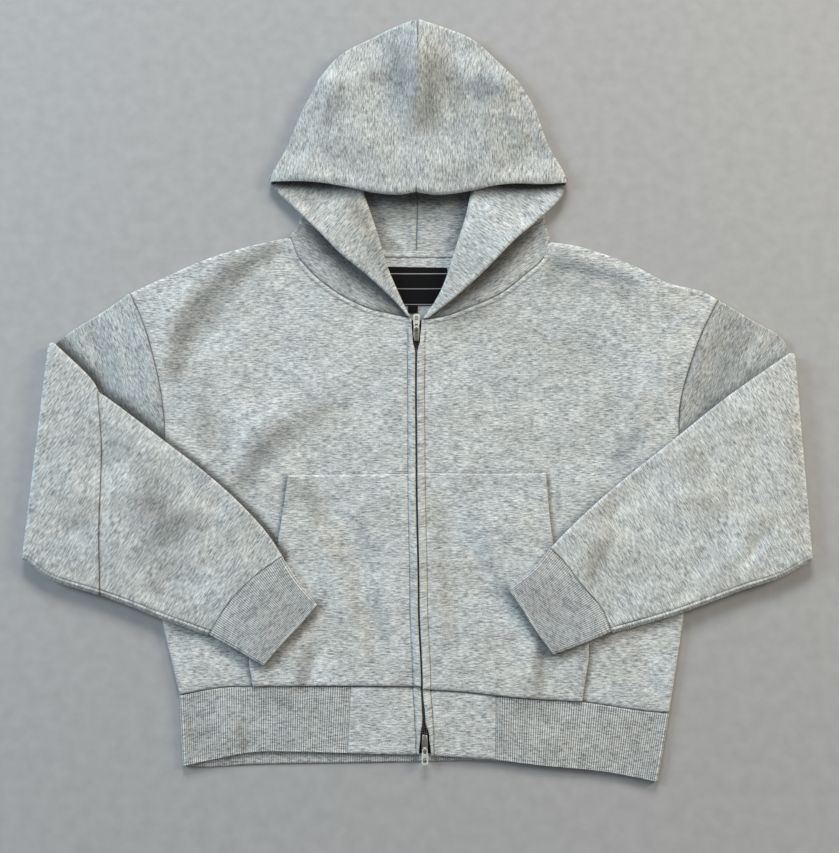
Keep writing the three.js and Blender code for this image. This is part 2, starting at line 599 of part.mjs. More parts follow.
const HOOD = {
  left: {
    side: -1,
    sideEdge: [[-156, 208.8], [-147, 222], [-143, 240], [-158, 266], [-181.5, 281], [-178, 292], [-162, 323], [-146, 366], [-122, 417]],
    arch: [[-1, 498], [-24, 489], [-56, 472], [-96, 449], [-122, 417]],
    crownSide: [[-181.5, 279], [-178, 292], [-162, 323], [-146, 366], [-122, 417]],
    faceEdge: [[-1.2, 262.5], [-22, 259], [-54, 262], [-93, 271], [-140, 278], [-166, 279.5], [-181.5, 279]],
    lapelSide: [[-156, 208.8], [-147, 222], [-143, 240], [-152, 262], [-166, 292]],
    roll: [[-10, 108], [-23, 136], [-36.5, 168.5], [-45, 197], [-55, 230], [-66.5, 265], [-72, 288]],
    lapelEdge: [[-13, 112.5], [-31, 131], [-61, 158.5], [-93, 185], [-124, 218], [-156, 251], [-177.5, 274], [-172, 290]],
  },
  right: {
    side: 1,
    sideEdge: [[162, 203.3], [160, 215], [156, 234], [162, 262], [185, 281], [182, 290], [163, 327], [145, 380], [126, 413]],
    arch: [[2.6, 498], [33, 487], [70, 470], [97, 444], [126, 413]],
    crownSide: [[185, 278], [182, 290], [163, 327], [145, 380], [126, 413]],
    faceEdge: [[-0.8, 262.5], [24, 259], [64, 264], [94, 271], [118, 274], [153, 275], [185, 278]],
    lapelSide: [[162, 203.3], [160, 215], [156, 234], [158, 262], [168, 292]],
    roll: [[9, 105], [28, 136], [42, 172.5], [50.5, 201.5], [60.5, 234], [67, 265], [73, 288]],
    lapelEdge: [[14, 106.5], [47, 132], [83, 164.5], [122, 205.5], [153, 234], [181, 267], [176, 290]],
  },
};
const HOOD_Z = { edge: 12.2, rise: 8.5, ridge: 2.2, roll: 8.0, lapel: 9.0 };
const OVERLAP = 0.12;       // how far the walls of one piece run into each other
const HALF_GAP = 0.22;      // from the hood's middle seam to each half
const NECK_START = 1;       // where the hood's side leaves the shoulder, along the neck seam
const SHOULDER_CLEAR = 1.4; // how much further up it starts there
const HOOD_GAP = 0.45;      // from the neck seam to the hood, along X and along Y
const CENTRE = [[-1, 190], [0.5, 260], [0, 350], [1, 430], [0.8, 498]];
// How far the roll of a lapel has opened along its length, lower again under the crown.
const rollGrow = (v) => smooth(v / 0.45) * (1 - 0.5 * smooth((v - 0.6) / 0.3));

for (const [name, rows] of Object.entries(HOOD)) {
  const { side } = rows;
  const apex = [0.8 + side * 0.6, 498];
  const distance = (p, plan, u, v) => p.distanceTo(plan(u, v));

  // The inside that is seen in the mouth, lying on the floor.
  const fromMiddle = moved(stretch(backNeck, 0.5, side < 0 ? 0 : 1), 0, HOOD_GAP);
  const start = fromMiddle(0);
  const lower = (t) => {
    const p = fromMiddle(t);
    p.x += (-1 + side * HALF_GAP - start.x) * Math.max(0, 1 - 6 * t);
    p.y += 0.6 * t;
    return p;
  };
  const ground = patch(lower, curve([lower(1).toArray(), ...rows.sideEdge.slice(1)]), curve([apex, ...rows.arch.slice(1)]),
    curve([[-1 + side * HALF_GAP, start.y], ...CENTRE.slice(1, -1).map(([x, y]) => [x + side * HALF_GAP, y]), apex]));
  const archR = (HOOD_Z.edge - FLOOR_Z) / 2;
  const mouthShare = 0.33;  // share of the side edge below the arch
  const groundAt = (u, v) => {
    const p = ground(u, v);
    const radius = mix(EDGE_R, archR, smooth((v - mouthShare + 0.06) / 0.12));
    const d = Math.min(distance(p, ground, 1, v), distance(p, ground, u, 1));
    p.z = FLOOR_Z + sink(d, radius) + (d < 0.01 ? OVERLAP : 0);
    return p;
  };
  const foldLines = (count, width) => withFold(steps(0, 1, count), archR, width);
  const floorWall = wall(groundAt, { us: foldLines(6, 150), vs: foldLines(8, 300), outward: side > 0 ? -1 : 1 });

  // The crown, folded down over the mouth, raised along its middle seam.
  const crownPlan = patch(curve(rows.faceEdge.map(([x, y], i) => (i ? [x, y] : [x + side * HALF_GAP, y]))),
    curve(rows.crownSide), curve([apex, ...rows.arch.slice(1)]),
    curve([[-1 + side * HALF_GAP, 262.5], [0 + side * HALF_GAP, 350], [1 + side * HALF_GAP, 430], apex]));
  const crownAt = (u, v) => {
    const p = crownPlan(u, v);
    const d = Math.min(distance(p, crownPlan, 1, v), distance(p, crownPlan, u, 1));
    const ridge = HOOD_Z.ridge * Math.exp(-((p.x / 16) ** 2)) * smooth((p.y - 300) / 90);
    const height = HOOD_Z.edge + HOOD_Z.rise * smooth(d / 70) + ridge * smooth(d / 25);
    p.z = height - sink(d, archR) - (d < 0.01 ? OVERLAP : 0);
    return p;
  };
  const crownWall = wall(crownAt, { us: foldLines(5, 150), vs: foldLines(6, 220), outward: side > 0 ? 1 : -1 });

  // The side of the hood that comes forward from the neck seam, and its rolled lapel.
  const neckLine = BODY[name].neckLine;
  const frontShare = shareAtX(neckLine, rows.roll[0][0]);
  const straight = moved(stretch(neckLine, NECK_START, frontShare), -side * HOOD_GAP, HOOD_GAP);
  // At the shoulder it stands clear of the rolled edge of the front.
  const neckSeam = (t) => straight(t).add(new THREE.Vector3(0, SHOULDER_CLEAR * Math.max(0, 1 - 6 * t), 0));
  const rollLine = curve([neckSeam(1).toArray(), ...rows.roll.slice(1)]);
  const hidden = curve([rows.lapelSide[4], rows.roll[6]]);
  const standPlan = patch(neckSeam, rollLine, hidden, curve([neckSeam(0).toArray(), ...rows.lapelSide.slice(1)]));
  const standAt = (u, v) => {
    const p = standPlan(u, v);
    const rollR = HOOD_Z.roll * rollGrow(v) * 0.5 + (HOOD_Z.lapel - FRONT_Z) / 2;
    const outer = sink(distance(p, standPlan, 0, v), EDGE_R);
    const roll = distance(p, standPlan, 1, v);
    p.z = FRONT_Z - outer - (u < 1e-6 ? OVERLAP : 0) + sink(roll, rollR) + (u > 1 - 1e-6 ? OVERLAP : 0);
    return p;
  };
  const innerFold = nearEdge(EDGE_R, 120);
  const neckStations = steps(1, STATIONS.neck, STATIONS.neck - 1)
    .map((k) => (NECK_START - 1 + k / STATIONS.neck) / (NECK_START - frontShare)).filter((t) => t < 0.97);
  const rollFold = nearEdge(2.5, 120).map((d) => 1 - d).reverse();
  const standWall = wall(standAt, {
    us: [...innerFold, ...neckStations, ...rollFold], vs: steps(0, 1, 7), outward: side > 0 ? -1 : 1,
  });
  const lapelTop = curve([rows.roll[6], rows.lapelEdge[rows.lapelEdge.length - 1]]);
  const lapelLow = curve([rows.roll[0], rows.lapelEdge[0]]);
  const lapelPlan = patch(lapelLow, curve(rows.lapelEdge), lapelTop, rollLine);
  const lapelAt = (u, v) => {
    const p = lapelPlan(u, v);
    const grow = rollGrow(v);
    const rollR = HOOD_Z.roll * grow * 0.5 + (HOOD_Z.lapel - FRONT_Z) / 2;
    const roll = distance(p, lapelPlan, 0, v);
    // Its outer edge stays up beside the neck and settles where it runs under the crown.
    const puff = HOOD_Z.roll * grow * (1 - smooth(roll / 60) * smooth((v - 0.5) / 0.38));
    p.z = HOOD_Z.lapel + puff - sink(roll, rollR) - (u < 1e-6 ? OVERLAP : 0);
    return p;
  };
  const lapelWall = wall(lapelAt, {
    us: [...nearEdge(2.5, 60), ...steps(0, 1, 4).slice(1)], vs: steps(0, 1, 7), outward: side > 0 ? -1 : 1,
  });
  add(`hood_${name}`, joined([floorWall, crownWall, standWall, lapelWall]));
}

// Neck tape over the back neck seam, with the bare label and the size tag below it.

const FLAT_Z = CLOTH + 0.3;    // underside of what is sewn flat inside the back
function flatPiece(corners, thick, across = 1) {
  const rings = steps(0, 1, across).map((t) => {
    const [west, east] = corners(t);
    return [[west[0], west[1], FLAT_Z], [east[0], east[1], FLAT_Z],
      [east[0], east[1], FLAT_Z + thick], [west[0], west[1], FLAT_Z + thick]];
  });
  return tower(rings);
}
{
  const seam = curve(BACK_NECK);
  add('neck_tape', flatPiece((t) => {
    const p = seam(mix(0.66, 0.3, t));
    return [[p.x, p.y + 6.5], [p.x, p.y - 2.5]];
  }, 0.8, 8));
  add('neck_label', flatPiece((t) => [[-36, mix(172.5, 123, t)], [37, mix(171, 123, t)]], 0.8));
  add('size_tag', flatPiece((t) => [[-11, mix(122.6, 113.5, t)], [1, mix(122.6, 113.5, t)]], 0.8));
}

// Zip: a tape with its row of teeth on each side of the line, from hem to neck.

const TAPE = { wide: 13, thick: 0.8, low: 3.3, teethWide: 2.3, teethLow: 2.9, teethHigh: 4.6, parting: 0.16 };
for (const side of [-1, 1]) {
  const ys = [-405, -388, -370, -335, -233, -160, -85, 30, 78, 104];
  const rings = ys.map((y) => {
    const x = zipX(y);
    const reach = (d) => x + side * d;
    const section = [
      [TAPE.wide, TAPE.low], [TAPE.teethWide, TAPE.low], [TAPE.teethWide, TAPE.teethLow],
      [TAPE.parting, TAPE.teethLow], [TAPE.parting, TAPE.teethHigh], [TAPE.teethWide, TAPE.teethHigh],
      [TAPE.teethWide, TAPE.low + TAPE.thick], [TAPE.wide, TAPE.low + TAPE.thick]];
    const ring = section.map(([d, z]) => [reach(d), y, z]);
    return side < 0 ? ring.reverse() : ring;
  });
  // The ring is not convex, so its ends are closed as one strip of the tape and one of the teeth.
  add(side < 0 ? 'zip_tape_left' : 'zip_tape_right', tapeSolid(rings, side));
}
function tapeSolid(rings, side) {
  const body = tower(rings);
  const count = rings[0].length;
  const sides = body.faces.slice(0, (rings.length - 1) * count * 6);
  const order = side < 0 ? [7, 6, 5, 4, 3, 2, 1, 0] : [0, 1, 2, 3, 4, 5, 6, 7];
  const caps = [[0, 1, 6], [0, 6, 7], [1, 2, 3], [1, 3, 4], [1, 4, 5], [1, 5, 6]];
  const top = (rings.length - 1) * count;
  const wanted = side < 0 ? -1 : 1;
  for (const [a, b, c] of caps) {
    const [i, j, k] = [order[a], order[b], order[c]];
    if (wanted > 0) sides.push(i, k, j, top + i, top + j, top + k);
    else sides.push(i, j, k, top + i, top + k, top + j);
  }
  return { points: body.points, faces: sides };
}

// Sliders and pull tabs: cast metal. Each slider has an arch, and the tab's pin turns in it.

const SLIDER = {
  low: 4.9, high: 7.3, wide: 6.8, noseWide: 4.8, pinZ: 8.8, pinR: 0.65,
  archWide: 2.2, archOuter: 3.1, archInner: 1.5, archTop: 11.2, archUnder: 10.1,
};
const TAB = { wide: 7.4, long: 17, thick: 1.3, openWide: 3.6, openLong: 4.4, frameWide: 4.2, frameFrom: 9, frameTo: 14.6 };
const ZIP_ENDS = {
  top: { pinY: 93.6, from: 77.5, to: 97.2, points: 1 },
  bottom: { pinY: -401.4, from: -385, to: -405, points: -1 },
};

function block(x0, x1, y0, y1, z0, z1) {
  return Manifold.cube([x1 - x0, y1 - y0, z1 - z0]).translate([x0, y0, z0]);
}
function fromManifold(solid) {
  const mesh = solid.getMesh();
  return { points: Array.from(mesh.vertProperties), faces: Array.from(mesh.triVerts) };
}
for (const [name, end] of Object.entries(ZIP_ENDS)) {
  const x = zipX(mix(end.from, end.to, 0.5));
  const [y0, y1] = [Math.min(end.from, end.to), Math.max(end.from, end.to)];
  const narrow = end.points > 0 ? y0 : y1;
  const broad = end.points > 0 ? y1 : y0;
  // Plan of the slider's plate: narrow where the teeth leave it closed.
  const outline = [
    [-SLIDER.noseWide / 2, narrow], [SLIDER.noseWide / 2, narrow],
    [SLIDER.wide / 2, mix(narrow, broad, 0.35)], [SLIDER.wide / 2, mix(narrow, broad, 0.92)],
    [SLIDER.wide / 2 - 1.4, broad], [-SLIDER.wide / 2 + 1.4, broad],
    [-SLIDER.wide / 2, mix(narrow, broad, 0.92)], [-SLIDER.wide / 2, mix(narrow, broad, 0.35)],
  ];
  const turned = end.points > 0 ? outline : outline.slice().reverse();
  const plate = Manifold.extrude([turned], SLIDER.high - SLIDER.low).translate([x, 0, SLIDER.low]);
  const [arch, hollow] = [SLIDER.archOuter, SLIDER.archInner];
  const wide = SLIDER.archWide / 2;
  const bridge = block(x - wide, x + wide, end.pinY - arch, end.pinY + arch, SLIDER.high - 0.5, SLIDER.archTop)
    .subtract(block(x - wide - 1, x + wide + 1, end.pinY - hollow, end.pinY + hollow, SLIDER.high + 0.1, SLIDER.archUnder));
  add(`slider_${name}`, fromManifold(plate.add(bridge)));

  const [half, thin] = [TAB.wide / 2, TAB.thick / 2];
  const along = (from, to) => (end.points > 0 ? [end.pinY + from, end.pinY + to] : [end.pinY - to, end.pinY - from]);
  const slab = (w, from, to, z) => block(x - w, x + w, ...along(from, to), SLIDER.pinZ - z, SLIDER.pinZ + z);
  const tab = slab(half - 0.6, SLIDER.pinR * -1, TAB.openLong + 1, thin)
    .add(slab(half, 3.2, TAB.long, thin))
    .subtract(slab(TAB.openWide / 2, SLIDER.pinR, TAB.openLong, thin + 1))
    .subtract(slab(TAB.frameWide / 2, TAB.frameFrom, TAB.frameTo, thin + 1));
  add(`pull_tab_${name}`, fromManifold(tab));
}

// The part's own frame: the middle of its base on the floor.

const box = new THREE.Box3().setFromObject(group);
for (const mesh of group.children) {
  mesh.geometry.translate(-(box.min.x + box.max.x) / 2, -(box.min.y + box.max.y) / 2, -box.min.z);
}

export default group;
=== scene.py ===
import math

import bmesh
import bpy
import numpy as np
from mathutils import Matrix, Vector


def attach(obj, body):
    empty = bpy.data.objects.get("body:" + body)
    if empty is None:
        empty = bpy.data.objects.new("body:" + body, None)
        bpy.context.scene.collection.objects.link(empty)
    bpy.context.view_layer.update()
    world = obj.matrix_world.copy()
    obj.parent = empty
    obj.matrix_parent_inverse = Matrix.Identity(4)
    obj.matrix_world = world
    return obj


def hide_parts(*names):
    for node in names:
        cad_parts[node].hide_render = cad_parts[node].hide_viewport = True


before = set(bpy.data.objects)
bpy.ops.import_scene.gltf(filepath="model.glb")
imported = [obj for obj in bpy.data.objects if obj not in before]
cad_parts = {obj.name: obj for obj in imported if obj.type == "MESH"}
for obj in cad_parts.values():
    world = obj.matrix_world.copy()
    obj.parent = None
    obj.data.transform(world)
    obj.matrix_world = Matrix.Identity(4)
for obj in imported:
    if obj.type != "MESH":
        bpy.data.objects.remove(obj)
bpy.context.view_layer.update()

# Camera, floor and light. The hoodie lies on its back on a plain pale floor under wide soft
# lamps, and is seen from above its hem. Plan sizes in this file are millimetres from a
# point on the zip, and PLAN_ORIGIN is that point in the part's own frame.
MM = 0.001
PLAN_ORIGIN = np.array([-0.242, -31.388, 0.0])
CAMERA = {"elevation": 78.0, "distance": 1.65, "lens": 58.03, "shift_x": 0.0029, "shift_y": -0.0252}
FLOOR_HALF = 4.0
# Lamps that look at the part's own origin: name, place, size, power and colour.
LAMPS = [
    ("top_lamp", (-0.1, 4.6, 2.6), (2.0, 1.4), 205, (0.98, 0.99, 1.0)),
    ("window_lamp", (-2.6, 0.9, 1.5), (1.0, 1.0), 62, (0.66, 0.87, 1.0)),
    ("room_lamp", (2.6, 1.0, 1.5), (1.0, 1.0), 58, (1.0, 0.9, 0.68)),
]


def new_object(name, data, material=None):
    """An object at the origin that shows this mesh, camera or lamp."""
    made = bpy.data.objects.new(name, data)
    bpy.context.scene.collection.objects.link(made)
    if material is not None:
        data.materials.append(material)
    return made


def mesh_of(bm, name, smooth=True):
    """The finished mesh of a bmesh, which is freed."""
    mesh = bpy.data.meshes.new(name)
    for face in bm.faces:
        face.smooth = smooth
    bm.to_mesh(mesh)
    bm.free()
    return mesh


def add_node(tree, kind, sockets=None, **settings):
    """A node of this kind. A socket is given a plain value, or another node's output."""
    made = tree.nodes.new(kind)
    for key, value in settings.items():
        setattr(made, key, value)
    for key, value in (sockets or {}).items():
        if isinstance(value, bpy.types.NodeSocket):
            tree.links.new(value, made.inputs[key])
        else:
            made.inputs[key].default_value = value
    return made


def plain_material(name, colour, roughness=0.8, **sockets):
    """A material with one shader, and the tree and shader to build on."""
    made = bpy.data.materials.new(name)
    made.use_nodes = True
    shader = made.node_tree.nodes["Principled BSDF"]
    shader.inputs["Base Color"].default_value = (*colour, 1)
    shader.inputs["Roughness"].default_value = roughness
    for key, value in sockets.items():
        shader.inputs[key.replace("_", " ")].default_value = value
    return made, made.node_tree, shader


def two_tone(tree, factor, low, high, spots=(0.0, 1.0)):
    """A colour that goes from low to high as the factor goes from one spot to the other."""
    ramp = add_node(tree, "ShaderNodeValToRGB", {"Fac": factor})
    for element, colour, spot in zip(ramp.color_ramp.elements, (low, high), spots):
        element.position, element.color = spot, (*colour, 1)
    return ramp.outputs["Color"]


def mixed(tree, factor, first, second, **settings):
    """A colour between two others, or made of both as the settings say."""
    sockets = {"Factor": factor, 6: first, 7: second}
    return add_node(tree, "ShaderNodeMix", sockets, data_type="RGBA", **settings).outputs[2]


def object_noise(tree, scale, detail):
    """Noise that stays in place on the object."""
    place = add_node(tree, "ShaderNodeTexCoord").outputs["Object"]
    noise = add_node(tree, "ShaderNodeTexNoise", {"Vector": place, "Scale": scale, "Detail": detail})
    return noise.outputs["Fac"]


def aimed(name, data, place, way):
    """A camera or lamp at this place that looks this way."""
    made = new_object(name, data)
    made.location = place
    made.rotation_mode = "QUATERNION"
    made.rotation_quaternion = way.to_track_quat("-Z", "Y")
    return made


tilt = math.radians(CAMERA["elevation"])
away = Vector((0, -math.cos(tilt), math.sin(tilt)))
view = bpy.data.cameras.new("camera")
view.lens, view.shift_x, view.shift_y = CAMERA["lens"], CAMERA["shift_x"], CAMERA["shift_y"]
bpy.context.scene.camera = aimed("camera", view, Vector(PLAN_ORIGIN * MM) + away * CAMERA["distance"], -away)

floor_material, floor_tree, floor_shader = plain_material("pale_floor", (0.6, 0.59, 0.59), 0.9)
floor_grain = object_noise(floor_tree, 60.0, 6.0)
floor_colour = two_tone(floor_tree, floor_grain, (0.3, 0.293, 0.294), (0.395, 0.386, 0.388))
floor_tree.links.new(floor_colour, floor_shader.inputs["Base Color"])
bm = bmesh.new()
bmesh.ops.create_grid(bm, x_segments=1, y_segments=1, size=FLOOR_HALF)
new_object("floor", mesh_of(bm, "floor", smooth=False), floor_material)

world = bpy.data.worlds.new("soft_daylight")
world.use_nodes = True
sky = world.node_tree.nodes["Background"].inputs
sky["Color"].default_value = (0.93, 0.97, 1.0, 1)
sky["Strength"].default_value = 0.3
bpy.context.scene.world = world
bpy.context.scene.view_settings.view_transform = "Standard"
for name, place, size, power, colour in LAMPS:
    lamp = bpy.data.lights.new(name, "AREA")
    lamp.shape = "RECTANGLE"
    lamp.size, lamp.size_y = size
    lamp.energy, lamp.color = power, colour
    aimed(name, lamp, place, -Vector(place))

# Front panels. Two panels of heavy double-faced knit in light heather grey, sewn to the
# back at the sides, to the sleeves, to the hood at the neck and to the zip tape, where the
# edge is turned in and topstitched. The shoulders have no seam in front: they turn over.
CLOTH = 2.2
SEAM = 0.3
FLOOR_Z = CLOTH / 2
FRONT_Z = 6.0
EDGE_R = (FRONT_Z - FLOOR_Z) / 2
SIDE_R = EDGE_R - SEAM / 2
GRID = 3.2
NEAR = (0.5, 1.2, 2.4)      # where a grid's lines stand close together, from its edge
ZIP = [
    (-420, 9.2, 8.8), (-406, 9.0, 7.0), (-386, 8.8, 5.2), (-370, 7.8, 2.0), (-335, 5.6, 1.2),
    (-233, 1.9, 1.2), (-85, -0.6, 1.2), (30, -1.3, 1.2), (62, -1.0, 1.4), (78, -0.8, 4.6),
    (98, -0.6, 5.8), (107, -0.5, 6.4),
]
HEM_SEAM_Y = {"left": -331, "right": -334}
NECK_Y = {"left": 106, "right": 104}
BODY = {
    "left": {
        "side": -1,
        "hem": [(-81, -330.4), (-185, -330.8), (-226, -332.3), (-271, -340.2)],
        "side_edge": [(-271, -340.2), (-283, -298), (-295, -251), (-300, -210), (-298, -165)],
        "armhole": [(-298, -165), (-298, -100), (-299.6, -40), (-306, 11), (-318, 60), (-333, 104),
                    (-348.5, 137.5)],
        "shoulder": [(-156, 208.5), (-180, 203.4), (-229, 190.6), (-265, 177.8), (-313, 155),
                     (-348.5, 137.5)],
        "neck": [(-30, 111), (-61, 119.2), (-96, 137.2), (-127, 161.8), (-147, 186), (-156, 208.5)],
    },
    "right": {
        "side": 1,
        "hem": [(56, -337.2), (112, -343.3), (188, -348), (256, -357.8), (287, -360.6)],
        "side_edge": [(287, -360.6), (298, -305), (308.6, -245), (312, -205), (310, -165)],
        "armhole": [(310, -165), (310.5, -100), (311.7, -36), (313.6, -5.6), (320, 22), (333, 60),
                    (344.5, 88), (365.4, 129)],
        "shoulder": [(162, 203), (205, 195.2), (266, 171.8), (306, 150.4), (347, 139.6), (365.4, 129)],
        "neck": [(36, 109), (63, 119.2), (102, 137.2), (133, 161.8), (155, 182), (162, 203)],
    },
}
POCKET_LIFT = 2.7
POCKET = {
    "left": (-85, [(-188, -331), (-193, -292), (-179, -233), (-163, -166), (-152, -86.6)]),
    "right": (-84, [(188.5, -348), (197, -279), (177, -233), (159, -165), (152, -84.2)]),
}
SLEEVE = {
    "left": {
        "elbow": [(-437, 73), (-453.5, -186)],
        "upper_top": [(-348.9, 137.5), (-382, 113), (-418, 89), (-437, 73)],
        "upper_low": [(-298.4, -165), (-350, -180), (-410, -187), (-453.5, -186)],
        "fore_top": [(-437, 73), (-389, 27), (-381, 13)],
        "fore_low": [(-453.5, -186), (-426, -206), (-377, -222), (-367, -225)],
        "join": [(-381, 13), (-373.5, -50), (-371.5, -150), (-367, -225)],
        "wrist_top": [(-380.45, 13), (-350, -9), (-301, -46), (-251, -84), (-211, -119), (-177, -155),
                      (-157, -183.5)],
        "wrist_low": [(-366.45, -225), (-335, -236), (-294, -252), (-239.5, -271.5)],
        "cuff_seam": [(-157, -183.5), (-187.5, -206), (-213.5, -232), (-239.5, -271.5)],
        "cuff_end": [(-116, -239), (-136, -263), (-155, -283), (-175.5, -307)],
        "cuff_top": [(-157, -183.8), (-142, -208), (-116, -239)],
        "cuff_low": [(-239.5, -271.8), (-206, -289), (-175.5, -307)],
    },
    "right": {
        "elbow": [(447.3, 60), (454, -187)],
        "upper_top": [(365.8, 129), (407, 102.5), (440, 81), (447.3, 60)],
        "upper_low": [(310.4, -165), (360, -180), (415, -187), (454, -187)],
        "wrist_top": [(447.3, 60), (366, 3.3), (308, -42.6), (236, -99.6), (189, -141), (155.5, -174)],
        "wrist_low": [(454, -187), (423, -204), (377, -219), (337, -233.5), (291, -249.6), (223.5, -268.5)],
        "cuff_seam": [(155.5, -174), (171, -190), (193, -219.5), (212, -242), (223.5, -268.5)],
        "cuff_end": [(106, -220.5), (120, -241), (134, -264), (156, -294.5)],
        "cuff_top": [(155.5, -174.3), (136, -197), (106, -220.5)],
        "cuff_low": [(223.5, -268.8), (195, -280), (156, -294.5)],
    },
}
UNDERARM = 0.36             # share of a front's outer edge that is the side seam
NECK_SHARE = 0.46           # share of its upper edge that is the neck seam
# How dark the painted shadow is on the cloth beside each forearm's top edge.
SLEEVE_SHADOW = {"left": 0.95, "right": 0.25}
FACING = {"wide": 10.0, "puff": 2.5, "groove": 0.7, "groove_wide": 1.0}
# Soft folds: from one point to another, how wide, and how far they lift or sink.
FRONT_FOLDS = [
    (-318, 60, -190, -40, 26, 1.3), (-300, -30, -200, -70, 18, -0.9), (335, 62, 215, -30, 26, 1.2),
    (305, -20, 210, -75, 18, -0.9), (150, 165, 285, 142, 14, 1.1), (160, 148, 280, 122, 12, -0.7),
    (-150, 150, -270, 120, 20, 0.8), (-170, 118, -280, 78, 16, -0.6), (-95, 60, -150, -60, 28, 0.7),
    (95, 40, 120, -60, 28, 0.6), (-225, -290, -215, -400, 14, 0.9), (235, -250, 250, -340, 16, 1.0),
    (-110, -150, -60, -290, 22, 0.9), (110, -160, 150, -290, 22, 0.8), (-75, -190, -45, -310, 16, -0.8),
    (-140, -110, -95, -190, 20, -0.7), (40, -200, 62, -310, 15, -0.8), (150, -120, 90, -200, 24, 0.6),
    (-240, 20, -170, -75, 14, -0.6), (-210, -10, -150, -80, 12, 0.6), (250, 10, 190, -70, 14, -0.6),
    (-60, -300, -180, -250, 15, -0.5), (60, -120, 130, -95, 16, -0.5), (-60, 20, -40, -70, 22, -0.4),
]
# Broad bands where the cloth turns to or from the light: from, to, how wide, and its slope.
FRONT_TURNS = [
    (-290, 31, -286, 88, 14, 0.52, -0.64), (-286, 81, -261, 129, 16, 0.55, -0.75),
    (-263, 124, -221, 167, 16, 0.58, -0.84), (-226, 164, -170, 197, 13, 0.49, -0.78),
    (-211, -102, -188, -59, 14, 0.46, -0.61), (-191, -64, -154, -30, 14, 0.38, -0.72),
    (-158, -32, -104, -5, 14, 0.17, -0.43), (-222, -59, -194, -18, 12, -0.29, 0.32),
    (-192, -20, -150, 14, 12, -0.23, 0.32), (-309, 114, -279, 149, 12, -0.43, 0.38),
    (-260, 29, -245, -68, 12, 0.2, -0.23), (-134, -99, -112, -140, 11, 0.29, -0.41),
    (-116, -134, -84, -186, 11, 0.43, 0.14), (-90, -177, -68, -233, 11, 0.46, 0.12),
    (-71, -228, -52, -284, 8, 0.43, 0.06), (-76, -134, -43, -186, 11, -0.32, -0.23),
    (-48, -181, -22, -238, 13, -0.32, 0.29), (-49, -221, -37, -278, 10, -0.36, -0.17),
    (-123, -284, -134, -337, 8, 0.61, -0.46), (-105, -290, -106, -329, 11, -0.17, 0.38),
    (165, 177, 213, 167, 10, -0.43, -0.93), (211, 167, 271, 149, 8, -0.38, -0.81),
    (193, 190, 272, 168, 6, 0.29, 0.43), (222, 129, 267, 29, 12, -0.26, 0),
    (269, 66, 290, 4, 11, -0.32, 0.14),
    (101, 126, 28, 96, 11, 0.29, -0.43), (76, 91, 245, 91, 72, 0, -0.14),
    (271, -34, 228, -80, 10, -0.43, -0.38), (18, -116, 27, -186, 11, 0.38, -0.06),
    (27, -181, 38, -278, 10, 0.41, -0.06), (41, -116, 74, -175, 11, -0.29, 0),
    (71, -169, 102, -227, 10, -0.52, -0.09), (100, -221, 125, -261, 7, -0.67, -0.29),
    (102, -250, 130, -290, 12, -0.17, 0.43), (143, -284, 138, -340, 7, 0.86, -0.54),
    (192, -288, 186, -335, 6, 0.32, -0.09), (267, -261, 280, -335, 10, -0.35, 0.23),
    (-153, 195, -115, 129, 12, -0.26, -0.12), (160, 184, 164, 154, 8, 0.36, -0.34),
    (-203, -372, -196, -404, 6, 0.45, -0.3), (-178, -342, -138, -350, 10, -0.08, -0.36),
    (-262, -392, -226, -372, 9, 0.14, -0.24), (108, -352, 158, -364, 9, -0.08, -0.32),
]
# Slow unevenness of cloth that was smoothed by hand: wave vector, start and height.
SWELLS = [(0.052, 0.031, 0.4, 0.16), (-0.034, 0.067, 2.1, 0.15), (0.083, -0.058, 4.4, 0.1),
          (0.021, 0.102, 1.2, 0.1), (0.131, 0.047, 5.0, 0.06), (-0.096, 0.113, 3.3, 0.06)]


def mix(a, b, t):
    return a + (b - a) * t


def smooth(t):
    t = np.clip(t, 0, 1)
    return t * t * (3 - 2 * t)


def curve(rows):
    """Smooth plan line through the rows, as a function of its share of length, 0 to 1."""
    spots = np.array(rows, float)
    spots = np.vstack([2 * spots[0] - spots[1], spots, 2 * spots[-1] - spots[-2]])
    dense = []
    t = np.linspace(0, 1, 41)[:, None]
    for a, b, c, d in zip(spots, spots[1:], spots[2:], spots[3:]):
        before, here, after = (max(math.dist(p, q), 1e-8) ** 0.5 for p, q in ((a, b), (b, c), (c, d)))
        start = here * ((b - a) / before - (c - a) / (before + here) + (c - b) / here)
        end = here * ((c - b) / here - (d - b) / (here + after) + (d - c) / after)
        dense.append(b + start * t + (3 * (c - b) - 2 * start - end) * t**2
                     + (2 * (b - c) + start + end) * t**3)
    dense = np.vstack(dense)
    run = np.concatenate([[0], np.cumsum(np.linalg.norm(np.diff(dense, axis=0), axis=1))])
    return lambda share: np.stack([np.interp(share, run / run[-1], dense[:, k]) for k in (0, 1)], -1)


def corner(first, second, at):
    """Two lines end to end, the corner between them at share `at`."""
    def line(t):
        t = np.asarray(t, float)
        return np.where((t < at)[..., None], first(np.clip(t / at, 0, 1)),
                        second(np.clip((t - at) / (1 - at), 0, 1)))
    return line


def moved(line, dx, dy):
    return lambda t: line(t) + np.array([dx, dy])


def stretch(line, start, end):
    return lambda t: line(mix(start, end, np.asarray(t, float)))


def share_at_x(line, x):
    """Share of a line at which it reaches this x."""
    t = np.linspace(0, 1, 4001)
    return t[np.argmin(np.abs(line(t)[:, 0] - x))]


